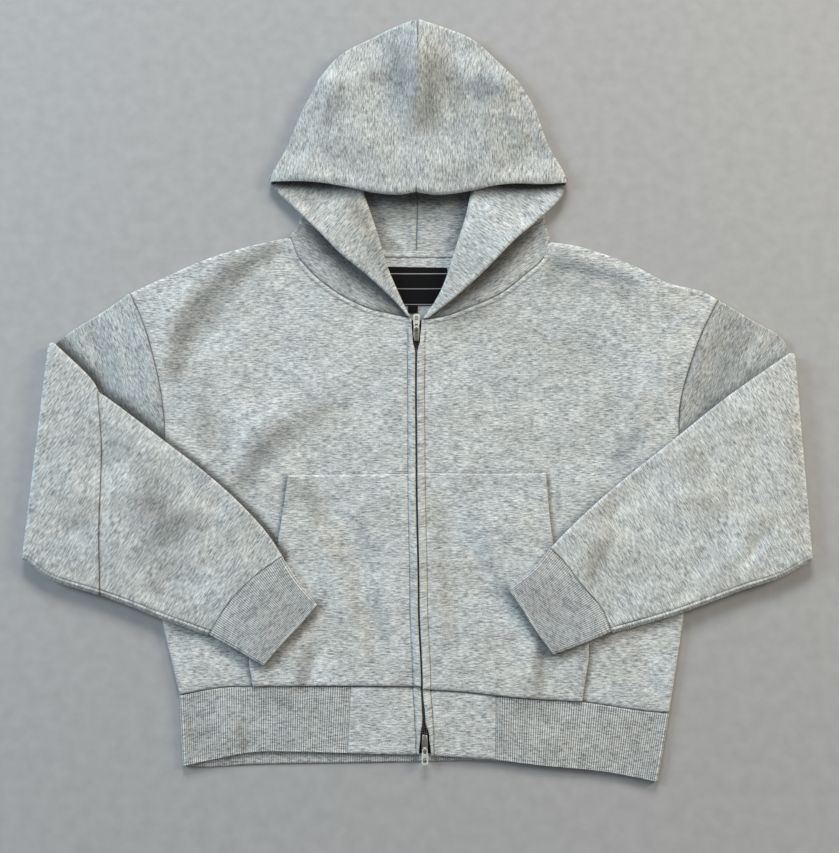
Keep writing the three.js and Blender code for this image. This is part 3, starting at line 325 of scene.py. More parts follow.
def patch(low, right, high, left):
    """Plan patch between four lines: u runs along low and high, v along left and right."""
    def place(u, v):
        u, v = np.broadcast_arrays(np.asarray(u, float), np.asarray(v, float))
        across, up = u[..., None], v[..., None]
        corners = [np.asarray(line(np.array(t))) for line in (low, high) for t in (0.0, 1.0)]
        return (mix(low(u), high(u), up) + mix(left(v), right(v), across)
                - mix(mix(corners[0], corners[1], across), mix(corners[2], corners[3], across), up))
    return place


def gap_between(p, q):
    return np.linalg.norm(p - q, axis=-1)


def sink(distance, radius):
    """How far a wall has turned down at this distance from a folded edge."""
    reach = np.clip(radius - distance, 0, radius)
    return radius - np.sqrt(radius**2 - reach**2)


def zip_x(y):
    rows = np.array(ZIP)
    at = np.clip(np.searchsorted(rows[:, 0], y), 1, len(rows) - 1)
    share = smooth((y - rows[at - 1, 0]) / (rows[at, 0] - rows[at - 1, 0]))
    return mix(rows[at - 1, 1], rows[at, 1], share), mix(rows[at - 1, 2], rows[at, 2], share)


def front_edge(side, low, high):
    """The front edge beside the zip between two heights, as a plan line."""
    def line(t):
        y = mix(low, high, np.asarray(t, float))
        middle, space = zip_x(y)
        return np.stack([middle + side * space, y], -1)
    return line


def folds(rows, x, y):
    """Height of the soft folds in a table."""
    height = np.zeros(np.shape(x))
    for x0, y0, x1, y1, width, lift in rows:
        dx, dy = x1 - x0, y1 - y0
        length = math.hypot(dx, dy)
        along = ((x - x0) * dx + (y - y0) * dy) / length**2
        across = ((x - x0) * dy - (y - y0) * dx) / length
        ends = smooth((along + 0.25) / 0.5) * smooth((1.25 - along) / 0.5)
        height += lift * ends * np.exp(-((across / width) ** 2))
    return height


def swell(x, y):
    return sum(height * np.sin(kx * x + ky * y + start) for kx, ky, start, height in SWELLS)


def elbow_fade(x):
    return smooth((430 - np.abs(x)) / 40)


def front_z(x, y):
    """Middle of the front wall, without the zip's facing."""
    return FRONT_Z + (np.clip(folds(FRONT_FOLDS, x, y), -1.1, 1.8) + swell(x, y)) * elbow_fade(x)


def facing_z(x, y):
    """The turned edge stands up most at the zip, and falls to its row of stitches."""
    distance = np.abs(x - zip_x(y)[0])
    puff = FACING["puff"] * smooth((distance + 0.6) / 2.6) * np.clip(1.12 - distance / FACING["wide"], 0, 1)
    return puff - FACING["groove"] * np.exp(-(((distance - FACING["wide"]) / FACING["groove_wide"]) ** 2))


def leaning(height, points):
    """Slopes of a height over the plan, which turn soft cloth to and from the light."""
    x, y = points[:, 0], points[:, 1]
    return np.stack([height(x - 1, y) - height(x + 1, y), height(x, y - 1) - height(x, y + 1), 0 * x], -1) / 2


def turns(rows, points):
    """Slopes of the broad bands in a table, at each point."""
    slope = np.zeros((len(points), 3))
    for *band, lean_x, lean_y in rows:
        slope += folds([(*band, 1.0)], points[:, 0], points[:, 1])[:, None] * np.array([lean_x, lean_y, 0])
    return slope


def cloth_lean(height, rows=(), whole=(0, 0, 0)):
    """How a sheet leans: with a height's slopes, the bands of a table, and as a whole."""
    return lambda u, v, points: leaning(height, points) + turns(rows, points) + np.array(whole)


def front_rise(x, y):
    return 1.2 * folds(FRONT_FOLDS, x, y) + 3.2 * swell(x, y) + 0.8 * facing_z(x, y)


front_lean = cloth_lean(front_rise, FRONT_TURNS)


def facing_line(points):
    """1 on the row of stitches beside the zip, for the shade that gathers there."""
    distance = np.abs(points[:, 0] - zip_x(points[:, 1])[0])
    return np.exp(-(((distance - FACING["wide"]) / 0.8) ** 2))


def beside(points, line, offset, width):
    """1 at this distance from a plan line: the mask of a painted shade along it, beside a row of
    stitches or along the edge of a piece that lies on the cloth.
    """
    spots = line(np.linspace(0, 1, 160))
    distance = np.min(np.linalg.norm(points[:, None, :2] - spots[None], axis=-1), axis=1)
    return np.exp(-(((distance - offset) / width) ** 2))


def side_name(points):
    return "left" if points[:, 0].mean() < 0 else "right"


def painted_shadow_beside_sleeves(points):
    """Little light reaches the cloth close beside the sleeve that lies on it."""
    name = side_name(points)
    arm = SLEEVE[name]
    top = SLEEVE_SHADOW[name] * beside(points, curve(arm["wrist_top"]), 3, 5.5)
    outline = curve([arm["wrist_low"][-1], *arm["cuff_low"][1:], *arm["cuff_end"][::-1]])
    low = 0.6 * np.maximum(beside(points, outline, 0, 6), beside(points, curve(arm["wrist_low"]), 0, 6))
    return np.maximum(top, low)


def painted_shadow_beside_pocket(points):
    """Nor the front along the pocket's open side, and a little less along its top."""
    name = side_name(points)
    top_y, opening = POCKET[name]
    side = 0.62 * beside(points, curve(opening), 0, 4.2) * smooth((top_y + 2 - points[:, 1]) / 6)
    top = curve([(0, top_y), opening[-1]])
    return np.maximum(side, 0.5 * beside(points, top, 0, 1.3))


def lines(length, near=NEAR, step=GRID, far=None):
    """Shares of a length, even in the middle and close together at both ends."""
    far = near if far is None else far
    low, high = np.array(near) / length, 1 - np.array(far) / length
    even = np.linspace(0, 1, max(3, round(length / step)) + 1)
    even = even[(even > low.max() + 0.3 * step / length) & (even < high.min() - 0.3 * step / length)]
    return np.unique(np.concatenate([[0], low, even, high, [1]]))


def lay(bm, place, us, vs, grain, edges="", seams="", closed=False, rib=None, puff=0.55, deep=0.6,
        lean=front_lean, shade=None, hide=None):
    """Adds one sheet of cloth to a bmesh: a grid, each vertex of it on the middle surface.

    `edges` names the sides, of low, high, left and right, where the cloth ends in a hem and is
    rounded, and `seams` those where it is sewn and a groove gets painted shade: `puff` is how far
    the cloth swells beside both, and `deep` how dark the groove's painted shade is. `grain` gives
    each point's place on the cloth, in millimetres, `lean` its slope, and `shade` its painted
    shadow. Both painted shades go into the "seam" attribute. `hide` takes a seam out of sight. A
    `closed` sheet is a tube, and its two ends are welded.
    """
    uv = bm.loops.layers.uv.verify()
    thin = bm.verts.layers.deform.verify()
    ribs = bm.verts.layers.float.get("rib") or bm.verts.layers.float.new("rib")
    # The "seam" attribute holds painted shade: the painted shade of the seam grooves, and the painted shadows
    # of `shade`.
    dark = bm.verts.layers.float.get("seam") or bm.verts.layers.float.new("seam")
    leans = bm.verts.layers.float_vector.get("lean") or bm.verts.layers.float_vector.new("lean")
    made = bmesh.ops.create_grid(bm, x_segments=len(us) - 1, y_segments=len(vs) - 1, size=0.5)["verts"]
    spots = np.array([v.co.xy[:] for v in made]) + 0.5
    cols = np.rint(spots[:, 0] * (len(us) - 1)).astype(int)
    rows = np.rint(spots[:, 1] * (len(vs) - 1)).astype(int)
    u, v = us[cols], vs[rows]
    points = place(u, v)
    grid = np.zeros((len(vs), len(us), 3))
    grid[rows, cols] = points
    ends = {"low": grid[:1], "high": grid[-1:], "left": grid[:, :1], "right": grid[:, -1:]}
    distance = np.full(len(made), 1e3)
    sewn = distance.copy()
    for name in f"{edges} {seams}".split():
        reach = gap_between(grid, ends[name])[rows, cols] + (0 if hide is None else hide(points))
        distance = np.minimum(distance, reach)
        if name in seams:
            sewn = np.minimum(sewn, reach)
    # Painted shade: dark in the seam grooves, or as dark as the painted shadow of `shade` where that is
    # darker.
    depth = deep * np.exp(-((sewn / 1.0) ** 2))
    if shade is not None:
        depth = np.maximum(depth, shade(points))
    slopes = 0 * points if lean is None else lean(u, v, points)
    on_cloth = grain(u, v, points) * MM
    for vert, point in zip(made, (points + PLAN_ORIGIN) * MM):
        vert.co = point
    faces = {face for vert in made for face in vert.link_faces}
    bm.verts.index_update()
    first = made[0].index
    for face in faces:
        for loop in face.loops:
            loop[uv].uv = on_cloth[loop.vert.index - first]
    for face in faces:
        face.normal_update()
    probe = [vert for vert, t in zip(made, u) if not closed or 0.1 < t < 0.4]
    if sum(face.normal.z for vert in probe for face in vert.link_faces) < 0:
        bmesh.ops.reverse_faces(bm, faces=list(faces))
    merged = bmesh.ops.find_doubles(bm, verts=made, dist=1e-6)["targetmap"] if closed else {}
    for vert in made:
        vert.normal_update()
    lift = puff * (np.exp(-(((distance - 4.5) / 3.0) ** 2)) - np.exp(-((distance / 1.5) ** 2)))
    phase = np.zeros(len(made)) if rib is None else rib["phase"](u)
    wave = np.cos(2 * math.pi * phase)
    if rib is not None:
        lift = lift + wave * rib["height"] / 2 * smooth(distance / 2.5)
    weight = 1 - 0.6 * np.exp(-((distance / 1.0) ** 2))
    normals = {vert: vert.normal.copy() for vert in made}
    for vert, target in merged.items():
        normals[vert] = normals[target] = (normals[vert] + normals[target]).normalized()
    for vert, up, share, crest, dim, slope in zip(made, lift, weight, wave, depth, slopes):
        vert.co += normals[vert] * float(up) * MM
        vert.co.z = max(vert.co.z, FLOOR_Z * float(share) * MM)
        vert[thin][0] = float(share)
        vert[ribs] = float(crest) if rib is not None else 1.0
        vert[dark] = float(dim)
        vert[leans] = slope
    if merged:
        bmesh.ops.weld_verts(bm, targetmap=merged)


def sew(node, bm, material, thick=CLOTH):
    piece = new_object(f"{node}_cloth", mesh_of(bm, f"{node}_cloth"), material)
    piece.vertex_groups.new(name="edge")
    wall = piece.modifiers.new("cloth thickness", "SOLIDIFY")
    wall.thickness = thick * MM
    wall.offset = 0
    wall.vertex_group = "edge"
    piece.data.uv_layers[0].name = "cloth"
    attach(piece, "garment")
    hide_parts(node)


def heather_group():
    """Fibre streaks of a heather yarn: colour and height over a cloth measured in metres."""
    tree = bpy.data.node_groups.new("heather", "ShaderNodeTree")
    for name, kind, way in (
            ("Cloth", "Vector", "INPUT"), ("Contrast", "Float", "INPUT"), ("Dark", "Color", "INPUT"),
            ("Middle", "Color", "INPUT"), ("Light", "Color", "INPUT"), ("Color", "Color", "OUTPUT"),
            ("Height", "Float", "OUTPUT")):
        tree.interface.new_socket(name, in_out=way, socket_type=f"NodeSocket{kind}")
    given = add_node(tree, "NodeGroupInput").outputs

    def noise(long, wide, detail, shift):
        """Noise in grains of this length and width, in metres."""
        spot = add_node(tree, "ShaderNodeMapping", {
            "Vector": given["Cloth"], "Location": (shift, shift * 1.7, 0), "Scale": (1 / long, 1 / wide, 1)})
        return add_node(tree, "ShaderNodeTexNoise", {
            "Vector": spot.outputs["Vector"], "Scale": 1.0, "Detail": detail, "Roughness": 0.55},
            noise_dimensions="2D").outputs["Fac"]

    def math_node(operation, *values):
        return add_node(tree, "ShaderNodeMath", dict(enumerate(values)), operation=operation).outputs[0]

    def sum_of(*terms):
        total = 0.0
        for value, share in terms:
            total = math_node("MULTIPLY_ADD", math_node("SUBTRACT", value, 0.5), share, total)
        return total

    fibres = noise(0.006, 0.0013, 2.0, 0.0)
    threads = noise(0.012, 0.002, 1.5, 3.1)
    clouds = noise(0.02, 0.01, 2.0, 7.7)
    tint = noise(0.075, 0.06, 1.0, 12.3)
    specks = noise(0.0014, 0.0009, 2.0, 5.2)
    tone = sum_of((fibres, 1.05), (threads, 0.6), (clouds, 0.4), (specks, 0.55))
    tone = math_node("MULTIPLY_ADD", tone, given["Contrast"], 0.5)
    low, high = (add_node(tree, "ShaderNodeMapRange", {
        "Value": tone, "From Min": start, "From Max": end}).outputs[0]
        for start, end in ((0.18, 0.5), (0.5, 0.82)))
    colour = mixed(tree, low, given["Dark"], given["Middle"])
    colour = mixed(tree, high, colour, given["Light"])
    warmth = two_tone(tree, tint, (0.985, 0.998, 1.01), (1.01, 1.0, 0.98), (0.36, 0.64))
    colour = mixed(tree, 1.0, colour, warmth, blend_type="MULTIPLY")
    wales, courses = (add_node(tree, "ShaderNodeTexWave", {
        "Vector": given["Cloth"], "Scale": scale, "Distortion": 1.2, "Detail": 1.0},
        bands_direction=way).outputs["Fac"] for scale, way in ((320.0, "X"), (420.0, "Y")))
    relief = sum_of((wales, 0.35), (courses, 0.3), (specks, 1.2), (fibres, 0.8))
    shown = add_node(tree, "NodeGroupOutput").inputs
    tree.links.new(colour, shown["Color"])
    tree.links.new(relief, shown["Height"])
    return tree


HEATHER = heather_group()
RELIEF = 0.0005


def knit_material(name, dark, middle, light, contrast=1.0, rib_shade=0.0):
    """Heather knit on the cloth's own UV map. A rib's groove gets painted shade, darker by
    `rib_shade`, and the attributes of `lay` give its painted shade at seams, its painted shadows
    and the way it leans to the light."""
    made, tree, shader = plain_material(name, middle, 0.95, Sheen_Weight=0.25, Sheen_Roughness=0.55,
                                        Specular_IOR_Level=0.18)
    place = add_node(tree, "ShaderNodeUVMap", uv_map="cloth")
    knit = add_node(tree, "ShaderNodeGroup", node_tree=HEATHER)
    tree.links.new(place.outputs["UV"], knit.inputs["Cloth"])
    for key, value in (("Dark", dark), ("Middle", middle), ("Light", light)):
        knit.inputs[key].default_value = (*value, 1)
    knit.inputs["Contrast"].default_value = contrast
    colour = knit.outputs["Color"]
    # Painted shade: the "rib" attribute darkens the rib's grooves, and the "seam" attribute darkens the seam
    # grooves and paints the shadows.
    for attribute, start, end, low, high in (
            ("rib", -1.0, 0.3, 1 - rib_shade, 1.0), ("seam", 0.0, 1.0, 1.0, 0.18)):
        mark = add_node(tree, "ShaderNodeAttribute", attribute_name=attribute)
        shade = add_node(tree, "ShaderNodeMapRange", {
            "Value": mark.outputs["Fac"], "From Min": start, "From Max": end, "To Min": low, "To Max": high})
        colour = mixed(tree, 1.0, colour, shade.outputs[0], blend_type="MULTIPLY")
    tree.links.new(colour, shader.inputs["Base Color"])
    lean = add_node(tree, "ShaderNodeAttribute", attribute_name="lean")
    turned_to = add_node(tree, "ShaderNodeVectorMath", {
        0: add_node(tree, "ShaderNodeNewGeometry").outputs["Normal"], 1: lean.outputs["Vector"]},
        operation="ADD")
    facing = add_node(tree, "ShaderNodeVectorMath", {0: turned_to.outputs[0]}, operation="NORMALIZE")
    bump = add_node(tree, "ShaderNodeBump", {
        "Height": knit.outputs["Height"], "Strength": 1.0, "Distance": RELIEF, "Normal": facing.outputs[0]})
    tree.links.new(bump.outputs["Normal"], shader.inputs["Normal"])
    return made


body_knit = knit_material("body_knit_heather", (0.213, 0.222, 0.233), (0.525, 0.536, 0.536),
                          (0.815, 0.823, 0.8))
STITCH = {"pitch": 2.9, "long": 2.1, "wide": 0.5}


def stitches(name, path):
    """A row of sewn stitches along points in plan millimetres, each a small sunk thread."""
    points = np.asarray(path, float)
    run = np.concatenate([[0], np.cumsum(np.linalg.norm(np.diff(points, axis=0), axis=1))])
    thread_size = Matrix.Diagonal((*(np.array([STITCH["long"], STITCH["wide"], STITCH["wide"]]) / 2 * MM), 1))
    bm = bmesh.new()
    for start in np.arange(0.4, run[-1] - STITCH["long"], STITCH["pitch"]):
        a, b = (np.array([np.interp(at, run, points[:, k]) for k in range(3)])
                for at in (start, start + STITCH["long"]))
        turn = Vector(b - a).to_track_quat("X", "Z").to_matrix().to_4x4()
        middle = Vector(((a + b) / 2 + PLAN_ORIGIN) * MM)
        bmesh.ops.create_uvsphere(bm, u_segments=6, v_segments=4, radius=1,
                                  matrix=Matrix.Translation(middle) @ turn @ thread_size)
    row = new_object(name, mesh_of(bm, name), thread)
    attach(row, "garment")


thread, thread_tree, thread_shader = plain_material("sewing_thread", (0.3, 0.32, 0.33), 0.6, Sheen_Weight=0.2)
thread_twist = object_noise(thread_tree, 900.0, 2.0)
thread_colour = two_tone(thread_tree, thread_twist, (0.2, 0.22, 0.23), (0.42, 0.44, 0.45))
thread_tree.links.new(thread_colour, thread_shader.inputs["Base Color"])


def on_plan(u, v, points):
    """Cloth whose streaks run across the garment, and on down its turned edges."""
    return points[:, :2] + points[:, 2:] * (0.8, 1.0)


def panel_z(points):
    return front_z(points[:, 0], points[:, 1]) + facing_z(points[:, 0], points[:, 1])


NECK_ROW = 5.5              # from the neck seam to the row of stitches below it
ZIP_NEAR = (*NEAR, 4, 5.6, 7, 8.2, 9, 9.7, 10.4, 11.2, 12.5)
HEM_NEAR = (0.4, 1.0, 2.3, 4)
for name, panel in BODY.items():
    zip_line = front_edge(panel["side"], HEM_SEAM_Y[name], NECK_Y[name])
    ends = zip_line(np.array([0.0, 1.0]))
    panel["hem_line"] = curve([ends[0], *panel["hem"]])
    panel["neck_line"] = curve([ends[1], *panel["neck"]])
    panel["armhole_line"] = curve(panel["armhole"])
    panel["side_line"] = corner(curve(panel["side_edge"]), panel["armhole_line"], UNDERARM)
    plan = patch(panel["hem_line"], panel["side_line"],
                 corner(panel["neck_line"], curve(panel["shoulder"]), NECK_SHARE), zip_line)

    def front_at(u, v, plan=plan):
        p = plan(u, v)
        drop = np.where(v < UNDERARM, sink(gap_between(p, plan(1, v)), SIDE_R), 0)
        over = np.where(u > NECK_SHARE, sink(gap_between(p, plan(u, 1)), SIDE_R), 0)
        return np.column_stack([p, panel_z(p) - np.maximum(drop, over)])

    # Painted shade on the front: in the grooves of the rows of stitches beside the zip and below the neck,
    # and painted shadow beside the sleeves and the pocket that lie on it.
    bm = bmesh.new()
    lay(bm, front_at, lines(300, ZIP_NEAR, far=HEM_NEAR), lines(430, far=(*HEM_NEAR, 5.2, 6, 6.8, 8)),
        on_plan, edges="left", seams="low high right",
        shade=lambda q, line=panel["neck_line"]: np.maximum.reduce([
            0.85 * facing_line(q), 0.6 * beside(q, line, NECK_ROW, 0.8), painted_shadow_beside_sleeves(q), painted_shadow_beside_pocket(q)]))
    sew(f"front_{name}", bm, body_knit)

# Back. One piece of the same knit, flat on the floor, turned up at its sides and shoulders
# where the fronts meet it.
BACK_NECK = [(-156, 208.5), (-120, 196), (-60, 188.5), (0, 187), (60, 187.5), (120, 193), (162, 203)]
BACK_FOLDS = [(-220, 120, -120, -20, 20, 0.9), (200, 90, 130, -60, 18, 0.8), (-60, -120, 40, -240, 22, 0.9),
              (120, -200, 220, -260, 16, 0.7), (-240, -180, -160, -290, 18, 0.8), (20, 120, 60, 0, 20, 0.6)]
NECK_ENDS = (0.31, 0.69)    # shares of the back's upper edge at which its neck starts and ends
back_neck = curve(BACK_NECK)
shoulders = {name: curve(BODY[name]["shoulder"]) for name in BODY}


def back_top(t):
    """Upper edge of the back: the left shoulder, the neck and the right shoulder."""
    start, end = NECK_ENDS
    t = np.asarray(t, float)[..., None]
    west = shoulders["left"](np.clip(1 - t[..., 0] / start, 0, 1))
    east = shoulders["right"](np.clip((t[..., 0] - end) / (1 - end), 0, 1))
    middle = back_neck(np.clip((t[..., 0] - start) / (end - start), 0, 1))
    return np.where(t < start, west, np.where(t > end, east, middle))


back_plan = patch(curve([(-271, -340.2), (-185, -333), (0, -334), (112, -343.3), (287, -360.6)]),
                  BODY["right"]["side_line"], back_top, BODY["left"]["side_line"])


def back_at(u, v):
    p = back_plan(u, v)
    sides = np.minimum(gap_between(p, back_plan(0, v)), gap_between(p, back_plan(1, v)))
    rise = np.where(v < UNDERARM, sink(sides, SIDE_R), 0)
    over = np.where((u < NECK_ENDS[0]) | (u > NECK_ENDS[1]), sink(gap_between(p, back_plan(u, 1)), SIDE_R), 0)
    fold = np.clip(folds(BACK_FOLDS, p[:, 0], p[:, 1]), 0, 1.1)
    return np.column_stack([p, FLOOR_Z + np.maximum(rise, over) + fold])


def painted_shadow_round_label(points):
    """Little light falls through the mouth of the hood on the back round its label."""
    x, y = points[:, 0], points[:, 1]
    return 0.42 * smooth((70 - np.abs(x)) / 20) * smooth((y - 70) / 20) * smooth((190 - y) / 70)


bm = bmesh.new()
lay(bm, back_at, lines(600, HEM_NEAR[:3], 5), lines(440, HEM_NEAR[:3], 5), on_plan, seams="low high",
    puff=0.25, lean=cloth_lean(lambda x, y: 2 * folds(BACK_FOLDS, x, y) + 3 * swell(x, y)), shade=painted_shadow_round_label)
sew("back", bm, body_knit)

# Kangaroo pocket. A half of the pouch lies on each front, topstitched along its top, caught
# in the zip and hem seams, and open along its slanted edge, which is turned in and stitched.
for name, (top_y, opening) in POCKET.items():
    side = BODY[name]["side"]
    zip_line = front_edge(side, HEM_SEAM_Y[name], top_y)
    ends = zip_line(np.array([0.0, 1.0]))
    inside = [row for row in BODY[name]["hem"] if abs(row[0]) < abs(opening[0][0]) - 5]
    top_line = curve([ends[1], (side * 76, top_y - 1), opening[-1]])
    open_line = curve(opening)
    plan = patch(curve([ends[0], *inside, opening[0]]), open_line, top_line, zip_line)

    def pocket_at(u, v, plan=plan):
        p = plan(u, v)
        lip = 1.1 * np.exp(-(((gap_between(p, plan(1, v)) - 3.5) / 4) ** 2))
        bump = 0.5 * np.exp(-(((gap_between(p, plan(u, 1)) - 2.4) / 2) ** 2))
        return np.column_stack([p, panel_z(p) + POCKET_LIFT + lip + bump])

    # Painted shade on the pocket: in the groove of the stitches beside the zip, and painted shadow beside the
    # sleeve that lies on it.
    bm = bmesh.new()
    lay(bm, pocket_at, lines(170, ZIP_NEAR, far=(*NEAR, 4, 6)), lines(250), on_plan,
        edges="high left right", seams="low", puff=0.4, deep=0.2,
        shade=lambda q: np.maximum(0.85 * facing_line(q), painted_shadow_beside_sleeves(q)))
    sew(f"pocket_{name}", bm, body_knit)

# Sleeves. Tubes of the same knit, set into the armholes. Each lies flat beside the body,
# turns over at the elbow, and its forearm comes back over the front and the pocket. The
# left one is pieced across the forearm. The seam under the arm makes a ridge at the low edge.
LAYER = 3.0
POCKET_RAMP = (242, 203)
BEND_R = (FRONT_Z + LAYER + 2 * EDGE_R - FLOOR_Z) / 2 - EDGE_R
BEND_Z = FLOOR_Z + EDGE_R + BEND_R
STREAK_ANGLE = math.radians(62)
UNDERARM_RIDGE = {"out": 2.6, "notch": 1.0, "reach": 26}
LOW_SEAM = 3.4              # from a forearm's low edge up to the seam under the arm
AROUND = (0.12, 0.33, 0.8, 1.4, 2.45, 3.6, 4.4, 5, 5.6, 6.6)
FOREARM_FOLDS = [
    (-437, 40, -330, -60, 22, 1.6), (-455, -140, -395, -155, 8, -1.8), (-455, -110, -380, -120, 20, 1.4),
    (-340, -90, -250, -190, 26, 1.4), (-300, -75, -230, -130, 14, -1.0), (455, -105, 375, -195, 8, -2.0),
    (455, -65, 350, -190, 20, 1.7), (430, 20, 330, -70, 24, 1.5), (320, -90, 240, -190, 24, 1.3),
    (285, -85, 215, -140, 13, -1.0), (-400, -60, -300, -200, 14, -0.8), (-360, -20, -270, -110, 10, 0.7),
    (400, -120, 300, -215, 14, -0.8), (380, -30, 290, -110, 12, -0.8), (-260, -190, -215, -245, 12, 0.9),
    (235, -180, 205, -235, 12, 0.9), (-420, -20, -410, -120, 14, 0.8), (425, -20, 420, -110, 12, 0.7),
]
UPPER_FOLDS = [
    (-372, 112, -352, 20, 9, 1.1), (-395, 90, -370, 10, 9, -0.9), (-335, 90, -318, 0, 12, 0.8),
    (392, 100, 350, 40, 14, -0.9), (420, 80, 400, 40, 9, 0.9), (350, 95, 332, 20, 12, 0.8),
]
UPPER_TURNS = [
    (-372, 110, -325, -2, 11, -0.26, 0.1), (392, 85, 344, -5, 11, 0.12, -0.41),
    (435, 72, 414, 47, 10, -0.6, 0.24),
]
FOREARM_TURNS = [
    (-320, -100, -288, -148, 20, 0.2, -0.48), (-326, -172, -254, -140, 13, 0.17, -0.42),
    (-308, -222, -284, -190, 12, 0.39, -0.1), (-256, -233, -234, -210, 14, -0.16, 0.39),
    (-371, -117, -349, -82, 14, -0.26, 0.34), (-273, -82, -315, -46, 10, 0.13, 0.21),
    (228, -123, 210, -187, 11, 0.44, -0.26), (213, -170, 197, -222, 10, 0.55, -0.42),
    (291, -94, 300, -164, 14, -0.26, 0.08), (270, -187, 330, -141, 14, -0.23, 0.13),
    (354, -129, 325, -117, 11, 0.13, -0.31), (443, 2, 446, -164, 10, 0.44, -0.13),
    (370, -164, 380, -199, 10, -0.13, 0.34), (334, -46, 320, -117, 14, 0.21, -0.13),
]
UPPER_LEAN = {"left": (-0.3, -0.3, 0.0), "right": (0.18, -0.42, 0.0)}
# ARM_SHADE gives the painted shadow on the upper arm beside the forearm.
ARM_SHADE = {"left": (1.0, 9), "right": (0.4, 5)}       # how dark beside the forearm, and how wide
FOREARM_LEAN = {"left": (0.09, -0.12, 0.0), "right": (0.0, 0.0, 0.0)}


def along(top, end, low, start):
    """Patch of a flattened tube: u across it from top to low, v from its start to its end."""
    return patch(start, low, end, top)


def forearm_z(x, y):
    on_pocket = smooth((POCKET_RAMP[0] - np.abs(x)) / (POCKET_RAMP[0] - POCKET_RAMP[1]))
    return front_z(x, y) + LAYER + POCKET_LIFT * on_pocket


def on_tube(t, plan, v):
    """Where line t of a flattened tube lies, its share of the width, and its side, 1 to -1."""
    turn = np.mod(t, 1)
    share = np.where(turn < 0.5, 2 * turn, 2 - 2 * turn)
    p = plan(share, v)
    distance = np.minimum(gap_between(p, plan(0, v)), gap_between(p, plan(1, v)))
    opened = 1 - sink(distance, EDGE_R) / EDGE_R
    return p, share, np.where(turn < 0.5, opened, -opened)


def round_tube(width):
    """Shares of the way round a flattened tube of this width, close together at its two edges."""
    across = lines(width, AROUND)
    return np.concatenate([across / 2, (1 - across[:-1] / 2)[::-1]])


def ridge_of(p, plan, share, side, v):
    """The seam under the arm: the lower wall reaches out past the upper one."""
    edge = plan(1, v)
    out = edge - plan(0.85, v)
    out /= np.linalg.norm(out, axis=-1)[:, None]
    near = smooth(1 - gap_between(p, edge) / UNDERARM_RIDGE["reach"]) * (share > 0.5)
    push = UNDERARM_RIDGE["out"] * smooth(side / 0.8) - UNDERARM_RIDGE["notch"] * np.exp(-((side / 0.2) ** 2))
    return p + out * (near * push)[:, None]


def low_seam(p, plan, v):
    """1 on the seam under the arm, which shows along the forearm's low edge."""
    return np.exp(-(((gap_between(p, plan(1, v)) - LOW_SEAM) / 1.1) ** 2))


